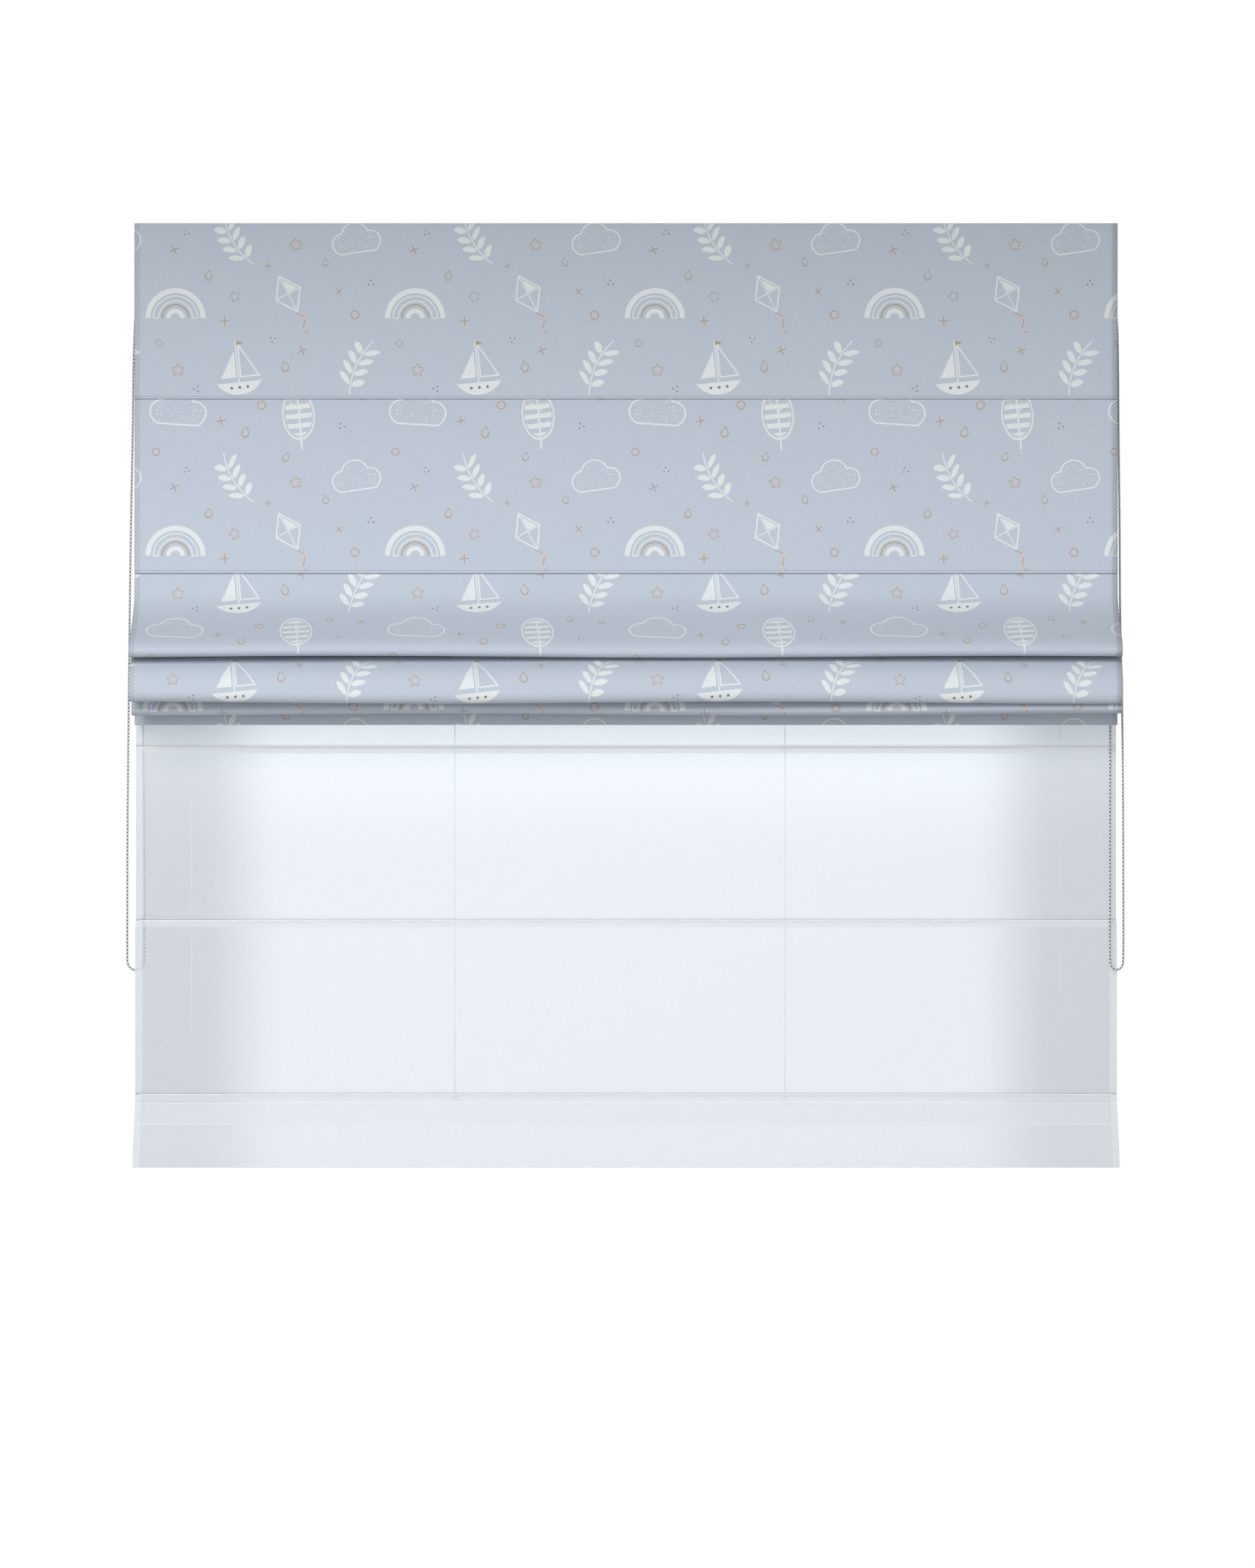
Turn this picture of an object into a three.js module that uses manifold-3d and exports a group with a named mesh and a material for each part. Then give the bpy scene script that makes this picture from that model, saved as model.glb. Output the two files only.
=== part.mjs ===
// Double roman blind: a half-raised cotton blind in front of a lowered voile blind, each on its own
// headrail, with the two rails held side by side by three wall brackets.
// Millimetres. The origin is the middle of the centre bracket's wall face, +X runs along the rails,
// -Y points into the room and +Z points up.
import * as THREE from "three";
import Module from "manifold-3d";

const wasm = await Module();
wasm.setup();

// Driving dimensions of both cloths
const clothWidth = 1600;
const topZ = 20; // top edge of the front cloth
const panelDrop = 284; // from one rod seam to the next
const hemDrop = 120; // from the lowest seam to the bottom edge
const seamCount = 5;
const headingTurn = 30; // cloth turned back behind the heading
const hemTurn = 107; // height of the turned-up hem
const hemTurnIn = 36; // raw edge turned down inside the hem
const layerGap = 0.4; // air between two layers of cloth
const fit = 0.3; // gap between two pieces that touch

// Front to back: wall at 0, rear rail, voile, front rail, front cloth
const railDepth = 23;
const railHeight = 28;
const railTop = topZ - 2.8;
const rearRailFront = -34;
const frontRailFront = -66;
const tapeThickness = 1.5;
const railEnd = 795; // outer end of the rails with their caps and drives
const driveLength = 25.3;
const capThickness = 2.7;

const frontCloth = { thickness: 1.2, railFront: frontRailFront, top: topZ };
const voile = { thickness: 1.0, railFront: rearRailFront, top: topZ - 3.1 };
for (const cloth of [frontCloth, voile]) {
  cloth.layer = cloth.thickness + layerGap;
  const tapeFront = cloth.railFront - fit - tapeThickness;
  cloth.planeY = tapeFront - fit - cloth.thickness / 2 - cloth.layer;
}

// Rods, cords and the rings that guide the cords behind the rods
const frontRodRadius = 2.0;
const voileRodRadius = 1.75;
const rodLength = 1588;
const cordRadius = 0.7;
const ring = { outer: 5, inner: 2.2, height: 1.8 };
const knot = { radius: 2.9, height: 5, taper: 0.3 };
const cordStations = [-710, -280, 260, 710];

// Raised folds of the front cloth: the rods of seams 3 to 5 hang stacked, and the cloth between two
// rods hangs forward in a loop. Reach is how far a loop stands forward at its left and right end,
// and the slopes are those at which it leaves the rod above it and comes back to its own.
const lowestRodZ = topZ - 697;
const stackPitch = 9;
const loops = [
  {
    reachLeft: 112, reachRight: 102, reachDrop: 697, bottomDrop: 708, bottomShare: 0.88, lift: 20,
    startRun: 0.03, startSlope: 14, endSlope: 0.4, phase: 20,
  },
  {
    reachLeft: 118, reachRight: 113, reachDrop: 764, bottomDrop: 782, bottomShare: 0.86, lift: 54,
    startRun: 0.48, startSlope: 0.5, endSlope: 0.78, phase: 24,
  },
  {
    reachLeft: 58, reachRight: 85, reachDrop: 791, bottomDrop: 800.5, bottomShare: 0.8, lift: 8,
    startRun: 0.4, startSlope: 1.35, endSlope: 1.7, phase: 8,
  },
];
const loopEndRun = 0.32; // share of the reach over which a loop straightens towards its own rod
const loopFlat = 0.18; // and over which its underside stays level
const loopRound = 0.55; // roundness of the turn at its belly
const reachWave = { height: 3, rate: 7 }; // unevenness along the width
const sagWave = { height: 1.6, rate: 9.5, shift: 0.6 };
const neckAngles = [-27, -44, -76]; // where the pocket of each stacked rod opens, 0 being straight forward

// Bead chains, from their drive down one strand, round the bottom and up the other. The voile's hangs
// behind the voile at the left, the front blind's between the cloths at the right.
const chainRadius = 2.25;
const chainSides = 8;
const chainStepsPerPoint = 3;
const voileChainRoute = [
  [-790, -30.1, -22.3], [-792.5, -30, -50], [-798, -28.5, -92], [-802.5, -26, -137], [-805, -24, -200],
  [-806.5, -22.8, -310], [-809, -22.5, -440], [-811.5, -22.5, -610], [-813.5, -22.5, -790],
  [-815, -22.5, -950], [-815.4, -22.5, -1090], [-815.4, -22.5, -1170], [-814.6, -22.5, -1187.5],
  [-809.6, -22.5, -1194.8], [-801.6, -22.5, -1197.5], [-793.6, -22.5, -1194.8], [-788.5, -22.5, -1187.5],
  [-787.7, -22.5, -1170], [-787.7, -22.5, -1070], [-788.8, -22.5, -900], [-790, -22.5, -760],
  [-790.5, -22.5, -600], [-790.5, -22.3, -400], [-790.3, -21, -250], [-790, -18, -140], [-790, -15.5, -70],
  [-790, -14.9, -22.3],
];
const frontChainRoute = [
  [790, -62.1, -22.3], [792, -61.9, -50], [796.5, -60, -95], [800.5, -57, -150], [802.2, -53.5, -225],
  [803.1, -51.4, -327], [804.8, -51, -480], [805.6, -51, -610], [808.6, -51, -760], [810.2, -51, -900],
  [810.7, -51, -1060], [810.7, -51, -1170], [809.8, -51, -1187.5], [806.4, -51, -1193.6],
  [799.9, -51, -1196.2], [793.4, -51, -1193.6], [790, -51, -1187.5], [789.1, -51, -1170],
  [789.1, -51, -1060], [789.4, -51, -880], [790, -51, -720], [790.4, -51, -560], [790.5, -51, -390],
  [790.3, -50, -250], [790, -48.4, -140], [790, -47.2, -70], [790, -46.9, -22.3],
];

const colours = {
  frontCloth: 0xb9c4d0,
  voile: 0xeef2f8,
  rail: 0xf1f2f3,
  plastic: 0xf4f4f2,
  tape: 0xe6e7e8,
  rod: 0xf3f5f5,
  cord: 0xf7f8f8,
  chain: 0xeceded,
};

function finish(colour, roughness = 0.6, metalness = 0) {
  return new THREE.MeshStandardMaterial({ color: colour, roughness, metalness });
}

function named(name, geometry, material) {
  const mesh = new THREE.Mesh(geometry, material);
  mesh.name = name;
  return mesh;
}

// Curves in the section plane: points are [forward, height], forward being towards the room

const degrees = Math.PI / 180;

function arc([cf, cz], radius, from, to, steps) {
  const points = [];
  for (let i = 0; i <= steps; i++) {
    const a = (from + ((to - from) * i) / steps) * degrees;
    points.push([cf + radius * Math.cos(a), cz + radius * Math.sin(a)]);
  }
  return points;
}

function bezier(a, b, c, d, steps) {
  const curve = new THREE.CubicBezierCurve(...[a, b, c, d].map(([f, z]) => new THREE.Vector2(f, z)));
  return curve.getPoints(steps).map((p) => [p.x, p.y]);
}

// The two sides of a strip of cloth that follows a path, as one closed outline
function thicken(path, thickness) {
  const half = thickness / 2;
  const left = [];
  const right = [];
  path.forEach(([f, z], i) => {
    const before = path[Math.max(i - 1, 0)];
    const after = path[Math.min(i + 1, path.length - 1)];
    const into = new THREE.Vector2(f - before[0], z - before[1]).normalize();
    const out = new THREE.Vector2(after[0] - f, after[1] - z).normalize();
    if (i === 0) into.copy(out);
    if (i === path.length - 1) out.copy(into);
    const along = into.clone().add(out).normalize();
    const reach = half / Math.max(along.dot(into), 0.5);
    left.push([f - along.y * reach, z + along.x * reach]);
    right.push([f + along.y * reach, z - along.x * reach]);
  });
  return [...right, ...left.reverse()];
}

// Joins one closed outline per station into a solid, with both ends capped
function loft(stations, outlineAt, place) {
  const outlines = stations.map(outlineAt);
  const count = outlines[0].length;
  const positions = [];
  outlines.forEach((outline, s) => outline.forEach(([f, z]) => positions.push(...place(stations[s], f, z))));
  const index = [];
  for (let s = 0; s + 1 < stations.length; s++) {
    for (let i = 0; i < count; i++) {
      const a = s * count + i;
      const b = s * count + ((i + 1) % count);
      index.push(a, b, b + count, a, b + count, a + count);
    }
  }
  for (const [s, flip] of [[0, false], [stations.length - 1, true]]) {
    const contour = outlines[s].map(([f, z]) => new THREE.Vector2(f, z));
    for (const [a, b, c] of THREE.ShapeUtils.triangulateShape(contour, [])) {
      const base = s * count;
      index.push(base + a, base + (flip ? b : c), base + (flip ? c : b));
    }
  }
  const geometry = new THREE.BufferGeometry();
  geometry.setAttribute("position", new THREE.Float32BufferAttribute(positions, 3));
  geometry.setIndex(index);
  return outwards(geometry);
}

// Turns every face round where the solid came out inside out
function outwards(geometry) {
  const p = geometry.getAttribute("position");
  const index = geometry.getIndex();
  const [a, b, c] = [new THREE.Vector3(), new THREE.Vector3(), new THREE.Vector3()];
  let volume = 0;
  for (let i = 0; i < index.count; i += 3) {
    a.fromBufferAttribute(p, index.getX(i));
    b.fromBufferAttribute(p, index.getX(i + 1));
    c.fromBufferAttribute(p, index.getX(i + 2));
    volume += a.dot(b.cross(c));
  }
  if (volume < 0) index.array.reverse();
  return geometry;
}

function evenly(from, to, count) {
  return Array.from({ length: count }, (_, i) => from + ((to - from) * i) / (count - 1));
}

// The cloth's heading: turned back behind the tape, up, and over to the front
function headingPath(cloth) {
  const radius = cloth.layer / 2;
  const foldZ = cloth.top - cloth.thickness / 2 - radius;
  return [[-cloth.layer, cloth.top - headingTurn], ...arc([-radius, foldZ], radius, 180, 0, 4)];
}

// A flat panel between two seams, with points enough to swell
function panelPoints(from, to) {
  return evenly(from, to, 5).slice(1, -1).map((z) => [0, z]);
}

// The bottom hem: down the front, up behind, and the raw edge turned down between the two
function hemPath(cloth, bottom, startF, startZ) {
  const wide = cloth.layer;
  const narrow = cloth.layer / 2;
  const hemTop = bottom + hemTurn;
  const turnZ = bottom + cloth.thickness / 2 + wide;
  return [
    [startF, startZ],
    [startF, (startZ + turnZ) / 2],
    ...arc([startF - wide, turnZ], wide, 0, -180, 6),
    ...arc([startF - wide - narrow, hemTop - narrow], narrow, 180, 0, 4),
    [startF - wide, hemTop - hemTurnIn],
  ];
}

// Rod centre behind the front cloth, measured from the cloth's plane
const frontRodForward = -3.6;
const frontRodRise = 4.6; // above the seam, for the seams that hang flat
const frontPocketRadius = frontRodRadius + fit + frontCloth.thickness / 2;
const frontNeckReach = 4; // from the rod's centre to where the pocket closes

// A flat seam of the front cloth: the panel ends in a lip that stands over the next panel, with the
// rod in a pocket behind it
function lipPocketPath(z) {
  const lip = frontCloth.layer / 2;
  const rod = [frontRodForward, z + frontRodRise];
  return [
    [0, z + 18],
    [0.9, z + 8],
    ...arc([0.4, z - 0.6], lip, 0, -180, 4),
    ...arc(rod, frontPocketRadius, -20, 235, 7),
    [-3.3, z - 0.6],
    [-2.9, z - 4.2],
    [-1.7, z - 10],
    [-0.7, z - 17],
    [0, z - 28],
  ];
}

// A seam of the raised stack: the cloth comes back from one loop, wraps the rod and leaves for the
// next through a neck that the loops pull to one side
function stackedPocketPath(z, neckAngle) {
  const rod = [frontRodForward, z];
  const pinch = (frontCloth.layer / 2 + 0.1) / frontNeckReach / degrees;
  const neck = (angle) => arc(rod, frontNeckReach, neckAngle + angle, neckAngle + angle, 1)[0];
  return [neck(pinch), ...arc(rod, frontPocketRadius, neckAngle + 60, neckAngle + 300, 6), neck(-pinch)];
}

// A loop of cloth between two seams
function loopPath(loop, share, start, end) {
  const reach =
    loop.reachLeft +
    (loop.reachRight - loop.reachLeft) * share +
    reachWave.height * Math.sin(reachWave.rate * share + loop.phase);
  const sag = sagWave.height * Math.sin(sagWave.rate * share + sagWave.shift * loop.phase);
  const belly = [reach, topZ - loop.reachDrop + sag];
  const bottom = [reach * loop.bottomShare, topZ - loop.bottomDrop + frontCloth.thickness / 2 + sag];
  const startRun = reach * loop.startRun;
  const endRun = reach * loopEndRun;
  const down = bezier(
    start,
    [start[0] + startRun, start[1] - startRun * loop.startSlope],
    [reach, belly[1] + loop.lift],
    belly,
    9,
  );
  const under = bezier(
    belly,
    [reach, belly[1] + (bottom[1] - belly[1]) * loopRound],
    [bottom[0] + (reach - bottom[0]) * loopRound, bottom[1]],
    bottom,
    3,
  );
  const back = bezier(
    bottom,
    [bottom[0] * (1 - loopFlat), bottom[1]],
    [end[0] + endRun, end[1] - endRun * loop.endSlope],
    end,
    6,
  );
  return [...down.slice(1), ...under.slice(1), ...back.slice(1, -1)];
}

function frontPath(share) {
  const path = headingPath(frontCloth);
  for (const seam of [1, 2]) {
    const z = topZ - seam * panelDrop;
    path.push(...panelPoints(path.at(-1)[1], z + 18), ...lipPocketPath(z));
  }
  loops.forEach((loop, i) => {
    const rodZ = lowestRodZ + stackPitch * (loops.length - 1 - i);
    const pocket = stackedPocketPath(rodZ, neckAngles[i]);
    path.push(...loopPath(loop, share, path.at(-1), pocket[0]), ...pocket);
  });
  const hemForward = path.at(-1)[0] - 0.2;
  path.push(...hemPath(frontCloth, lowestRodZ - hemDrop, hemForward, lowestRodZ - 9));
  return path;
}

// How far a panel swells between two rods, which hold it straight
const swell = { front: 1.5, voile: 2.2, spread: 210, shift: 2.1, from: 0.1 };
function panelSwell(x, z, amount) {
  const drop = (topZ - z) / panelDrop;
  const panel = Math.floor(drop);
  const between = drop > swell.from && drop < seamCount ? Math.sin(Math.PI * (drop - panel)) ** 2 : 0;
  return amount * between * Math.sin(x / swell.spread + swell.shift * panel);
}

function frontClothSolid() {
  const stations = evenly(-clothWidth / 2, clothWidth / 2, 11);
  const shareAt = (x) => x / clothWidth + 0.5;
  const flatBottom = topZ - 2 * panelDrop;
  return loft(
    stations,
    (x) => thicken(frontPath(shareAt(x)), frontCloth.thickness),
    (x, f, z) => [x, frontCloth.planeY - f - (z > flatBottom ? panelSwell(x, z, swell.front) : 0), z],
  );
}

// Rod centre behind the voile, measured from the cloth's plane
const voileRodForward = -3.9;
const voilePocketRadius = voileRodRadius + fit + voile.thickness / 2;
const voileFlap = 11; // the pocket's flap hangs this far below the seam

// A seam of the voile: the panel turns back over the rod, hangs down as a flap and comes up again
// to start the next panel
function flapPocketPath(z) {
  const rod = [voileRodForward, z - 1];
  const narrow = voile.layer / 2;
  const flapF = voileRodForward;
  return [
    [0, z + 12],
    [0, z + 4.5],
    [-1.2, z + 2.4],
    ...arc(rod, voilePocketRadius, 90, 215, 4),
    ...arc([flapF, z - voileFlap + narrow], narrow, 180, 360, 4),
    ...arc(rod, voilePocketRadius, -38, 0, 2),
    ...arc([-narrow, z - 1], narrow, 150, 0, 3),
    [0, z - 12],
  ];
}

function voilePath() {
  const path = headingPath(voile);
  for (let seam = 1; seam <= seamCount; seam++) {
    const z = topZ - seam * panelDrop;
    path.push(...panelPoints(path.at(-1)[1], z + 12), ...flapPocketPath(z));
  }
  const lastSeam = topZ - seamCount * panelDrop;
  path.push(...hemPath(voile, lastSeam - hemDrop, 0, lastSeam - 14));
  return path;
}

// Half the voile's width: a little wider below the fourth seam, and flared in the hem
function voileHalfWidth(z) {
  const drop = topZ - z;
  const hemShare = THREE.MathUtils.smoothstep(drop, seamCount * panelDrop, seamCount * panelDrop + hemDrop);
  const lowShare = THREE.MathUtils.smoothstep(drop, 4 * panelDrop - 20, 4 * panelDrop + 20);
  return clothWidth / 2 + 1.5 * lowShare + 4.5 * hemShare;
}

function voileSolid() {
  const stations = evenly(-1, 1, 9);
  const outline = thicken(voilePath(), voile.thickness);
  return loft(
    stations,
    () => outline,
    (side, f, z) => {
      const x = side * voileHalfWidth(z);
      return [x, voile.planeY - f - panelSwell(x, z, swell.voile), z];
    },
  );
}

// Hard parts

function boxBetween([x0, y0, z0], [x1, y1, z1]) {
  const box = new THREE.BoxGeometry(x1 - x0, y1 - y0, z1 - z0);
  return box.translate((x0 + x1) / 2, (y0 + y1) / 2, (z0 + z1) / 2);
}

// A profile of [y, z] points, extruded along X from x0 to x1
function extrudeAlongX(profile, x0, x1) {
  const shape = new THREE.Shape(profile.map(([y, z]) => new THREE.Vector2(y, z)));
  const geometry = new THREE.ExtrudeGeometry(shape, { depth: x1 - x0, bevelEnabled: false });
  // The shape's plane becomes Y-Z and its depth X
  const turn = new THREE.Matrix4().set(0, 0, 1, x0, 1, 0, 0, 0, 0, 1, 0, 0, 0, 0, 0, 1);
  return geometry.applyMatrix4(turn);
}

function toSolid(geometry) {
  const bare = geometry.index ? geometry.toNonIndexed() : geometry;
  const p = bare.getAttribute("position");
  const seen = new Map();
  const vertices = [];
  const triangles = [];
  for (let i = 0; i < p.count; i++) {
    const point = [p.getX(i), p.getY(i), p.getZ(i)];
    const key = point.map((v) => Math.round(v * 1e4)).join();
    if (!seen.has(key)) {
      seen.set(key, vertices.length / 3);
      vertices.push(...point);
    }
    triangles.push(seen.get(key));
  }
  return new wasm.Manifold(
    new wasm.Mesh({
      numProp: 3,
      vertProperties: new Float32Array(vertices),
      triVerts: new Uint32Array(triangles),
    }),
  );
}

function toGeometry(solid) {
  const mesh = solid.getMesh();
  const geometry = new THREE.BufferGeometry();
  geometry.setAttribute("position", new THREE.Float32BufferAttribute(mesh.vertProperties, 3));
  geometry.setIndex(Array.from(mesh.triVerts));
  return geometry;
}

const wall = 1.5; // of the rail's front, back and lips
const lip = 3; // of the rail's open underside
const railRoof = 4.2; // solid top of the rail, grooved for the bracket's hooks
const groove = { top: 15.6, bottom: 13.9, depth: 1.2 };

// Inverted channel with hook grooves near its top and two lips along its open underside
function railProfile(front) {
  const back = front + railDepth;
  const bottom = railTop - railHeight;
  const half = [
    [0, railTop],
    [0, groove.top],
    [groove.depth, groove.top],
    [groove.depth, groove.bottom],
    [0, groove.bottom],
    [0, bottom],
    [wall + lip, bottom],
    [wall + lip, bottom + wall],
    [wall, bottom + wall],
    [wall, railTop - railRoof],
  ];
  const frontSide = half.map(([inset, z]) => [front + inset, z]);
  const backSide = half.map(([inset, z]) => [back - inset, z]).reverse();
  return [...frontSide, ...backSide];
}

// The housing of a bead-chain wheel at a rail's end, rounded round the wheel at its bottom
function driveGeometry(front, side) {
  const middle = front + railDepth / 2;
  const half = railDepth / 2;
  const wheelZ = -12;
  const round = arc([middle, wheelZ], half, 180, 360, 10).map(([y, z]) => [y, Math.max(z, wheelZ - 10)]);
  const profile = [[front, railTop], ...round, [front + railDepth, railTop]];
  const [x0, x1] = side < 0 ? [-railEnd, driveLength - railEnd] : [railEnd - driveLength, railEnd];
  return extrudeAlongX(profile, x0, x1);
}

function capGeometry(front, side) {
  const x = side * railEnd;
  const inner = side * (railEnd - capThickness);
  const bottom = railTop - railHeight;
  return boxBetween([Math.min(x, inner), front, bottom], [Math.max(x, inner), front + railDepth, railTop]);
}

// A cord spool's case inside the channel, with a nozzle for the cord through the open underside
const spool = { length: 46, nozzleLength: 16, nozzleWidth: 6, nozzleDrop: 4 };
function spoolGeometry(x, front, cordY) {
  const bottom = railTop - railHeight + wall + fit;
  const roof = railTop - railRoof - fit;
  const body = boxBetween(
    [x - spool.length / 2, front + wall + fit, bottom],
    [x + spool.length / 2, front + railDepth - wall - fit, roof],
  );
  const nozzle = boxBetween(
    [x - spool.nozzleLength / 2, cordY - spool.nozzleWidth / 2, bottom - wall - spool.nozzleDrop],
    [x + spool.nozzleLength / 2, cordY + spool.nozzleWidth / 2, bottom + 1],
  );
  return toGeometry(toSolid(body).add(toSolid(nozzle)));
}
const nozzleEndZ = railTop - railHeight + fit - spool.nozzleDrop;

// Wall bracket: a wall plate, an arm over both rails, and four hooks that snap into the rails' grooves
const bracket = { width: 26, plate: 2.5, arm: 2.5, halfHeight: 20, hook: 1.2 };
const screwHole = { radius: 2.4, heights: [-13, 8] };
function bracketGeometry(x) {
  const under = topZ - bracket.arm;
  const hookTop = groove.top - fit;
  const hookEnd = groove.bottom + fit;
  const tooth = groove.depth - fit;
  const hookAt = (face, inward) => [
    [face - inward * fit, under],
    [face - inward * fit, hookTop],
    [face + inward * tooth, hookTop],
    [face + inward * tooth, hookEnd],
    [face - inward * (fit + bracket.hook), hookEnd],
    [face - inward * (fit + bracket.hook), under],
  ];
  const hooks = [rearRailFront, frontRailFront].flatMap((front) => [
    ...hookAt(front + railDepth, -1).reverse(),
    ...hookAt(front, 1),
  ]);
  const frontEnd = frontRailFront - fit - bracket.hook;
  const profile = [
    [0, -bracket.halfHeight],
    [0, topZ],
    [frontEnd, topZ],
    ...hooks.reverse(),
    [-bracket.plate, under],
    [-bracket.plate, -bracket.halfHeight],
  ];
  const half = bracket.width / 2;
  let solid = toSolid(extrudeAlongX(profile, x - half, x + half));
  for (const z of screwHole.heights) {
    const screw = new THREE.CylinderGeometry(screwHole.radius, screwHole.radius, 8, 16);
    solid = solid.subtract(toSolid(screw.translate(x, -bracket.plate / 2, z)));
  }
  return toGeometry(solid);
}

function rodGeometry(radius, y, z) {
  const rod = new THREE.CylinderGeometry(radius, radius, rodLength, 10);
  return rod.rotateZ(Math.PI / 2).translate(0, y, z);
}

// A straight lift cord, from its spool's nozzle through the lowest ring to a knot below it
function liftCordGeometry(x, y, ringZ) {
  const knotTop = ringZ - ring.height / 2 - fit;
  const profile = [
    [0, nozzleEndZ - fit],
    [cordRadius, nozzleEndZ - fit],
    [cordRadius, knotTop],
    [knot.radius, knotTop - knot.taper * knot.height],
    [knot.radius, knotTop - (1 - knot.taper) * knot.height],
    [0, knotTop - knot.height],
  ];
  const points = profile.reverse().map(([r, z]) => new THREE.Vector2(r, z));
  return new THREE.LatheGeometry(points, 8).rotateX(Math.PI / 2).translate(x, y, 0);
}

function ringGeometry(x, y, z) {
  const half = ring.height / 2;
  const corners = [[ring.inner, -half], [ring.outer, -half], [ring.outer, half], [ring.inner, half]];
  const points = [...corners, corners[0]].map(([r, h]) => new THREE.Vector2(r, h));
  return new THREE.LatheGeometry(points, 16).rotateX(Math.PI / 2).translate(x, y, z);
}

// Takes its steps evenly from point to point and not by length, so a bend gets as many as it needs
class RouteCurve extends THREE.CatmullRomCurve3 {
  getPointAt(share, target) {
    return this.getPoint(share, target);
  }
  getTangentAt(share, target) {
    return this.getTangent(share, target);
  }
}

function chainGeometry(route) {
  const extrudePath = new RouteCurve(route.map((point) => new THREE.Vector3(...point)));
  const section = arc([0, 0], chainRadius, 0, 360, chainSides).slice(1).map((p) => new THREE.Vector2(...p));
  const steps = (route.length - 1) * chainStepsPerPoint;
  return new THREE.ExtrudeGeometry(new THREE.Shape(section), { extrudePath, steps, bevelEnabled: false });
}

// One blind: its rail, tape, spools, cords, rods and lowest rings
function blindParts({
  name, rodName, cloth, driveSide, rodForward, pocketRadius, rodRadius, rodHeights, chainRoute,
}) {
  const group = new THREE.Group();
  const metal = finish(colours.rail, 0.35, 0.1);
  const plastic = finish(colours.plastic, 0.45);
  const front = cloth.railFront;
  const driveX = driveSide * (railEnd - driveLength - fit);
  const capX = -driveSide * (railEnd - capThickness - fit);
  const rail = extrudeAlongX(railProfile(front), Math.min(driveX, capX), Math.max(driveX, capX));
  group.add(named(`${name}_rail`, rail, metal));
  group.add(named(`${name}_chain_drive`, driveGeometry(front, driveSide), plastic));
  group.add(named(`${name}_end_cap`, capGeometry(front, -driveSide), plastic));

  const tapeX = railEnd - 5;
  const tapeBack = front - fit;
  const tape = boxBetween([-tapeX, tapeBack - tapeThickness, -7.5], [tapeX, tapeBack, 12.5]);
  group.add(named(`${name}_heading_tape`, tape, finish(colours.tape, 0.9)));

  const rodY = cloth.planeY - rodForward;
  const pocketBack = rodY + pocketRadius + cloth.thickness / 2;
  const cordY = pocketBack + fit + ring.outer;
  const lowest = rodHeights.at(-1);
  const cordFinish = finish(colours.cord, 0.8);
  cordStations.forEach((x, i) => {
    group.add(named(`${name}_cord_spool_${i + 1}`, spoolGeometry(x, front, cordY), plastic));
    group.add(named(`${name}_lift_cord_${i + 1}`, liftCordGeometry(x, cordY, lowest), cordFinish));
    group.add(named(`${name}_cord_ring_${i + 1}`, ringGeometry(x, cordY, lowest), plastic));
  });
  rodHeights.forEach((z, i) => {
    group.add(named(`${rodName}_${i + 1}`, rodGeometry(rodRadius, rodY, z), finish(colours.rod, 0.4)));
  });
  group.add(named(`${name}_chain`, chainGeometry(chainRoute), finish(colours.chain, 0.4)));
  return group;
}

const flatSeams = evenly(1, seamCount, seamCount).map((seam) => topZ - seam * panelDrop);
const frontRodHeights = [
  ...flatSeams.slice(0, 2).map((z) => z + frontRodRise),
  ...[2, 1, 0].map((above) => lowestRodZ + above * stackPitch),
];
const voileRodHeights = flatSeams.map((z) => z - 1);

const blind = new THREE.Group();
blind.add(named("front_cloth", frontClothSolid(), finish(colours.frontCloth, 0.9)));
blind.add(named("sheer_cloth", voileSolid(), finish(colours.voile, 0.9)));
blind.add(
  blindParts({
    name: "front",
    rodName: "front_rod",
    cloth: frontCloth,
    driveSide: 1,
    rodForward: frontRodForward,
    pocketRadius: frontPocketRadius,
    rodRadius: frontRodRadius,
    rodHeights: frontRodHeights,
    chainRoute: frontChainRoute,
  }),
);
blind.add(
  blindParts({
    name: "sheer",
    rodName: "sheer_rod",
    cloth: voile,
    driveSide: -1,
    rodForward: voileRodForward,
    pocketRadius: voilePocketRadius,
    rodRadius: voileRodRadius,
    rodHeights: voileRodHeights,
    chainRoute: voileChainRoute,
  }),
);
const bracketStations = { left: -600, middle: 0, right: 600 };
for (const [place, x] of Object.entries(bracketStations)) {
  blind.add(named(`wall_bracket_${place}`, bracketGeometry(x), finish(colours.rail, 0.35, 0.1)));
}

export default blind;
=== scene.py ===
from functools import reduce
from math import ceil, cos, degrees, dist, exp, floor, pi, radians, sin

import bpy
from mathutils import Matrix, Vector


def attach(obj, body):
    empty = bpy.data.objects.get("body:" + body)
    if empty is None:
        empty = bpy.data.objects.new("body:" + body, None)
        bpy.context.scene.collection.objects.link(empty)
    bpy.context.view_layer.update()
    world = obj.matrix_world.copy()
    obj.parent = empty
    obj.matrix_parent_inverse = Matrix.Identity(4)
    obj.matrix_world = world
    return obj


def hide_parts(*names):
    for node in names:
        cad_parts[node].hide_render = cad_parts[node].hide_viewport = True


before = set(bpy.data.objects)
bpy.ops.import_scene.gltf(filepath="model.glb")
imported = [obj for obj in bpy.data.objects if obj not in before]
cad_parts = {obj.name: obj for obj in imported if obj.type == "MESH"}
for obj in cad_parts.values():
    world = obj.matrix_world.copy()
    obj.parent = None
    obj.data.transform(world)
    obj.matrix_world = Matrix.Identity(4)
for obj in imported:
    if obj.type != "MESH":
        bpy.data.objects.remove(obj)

mm = 0.001
scene = bpy.context.scene


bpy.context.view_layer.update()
print("frame loaded,", len(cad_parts), "CAD nodes")


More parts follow.
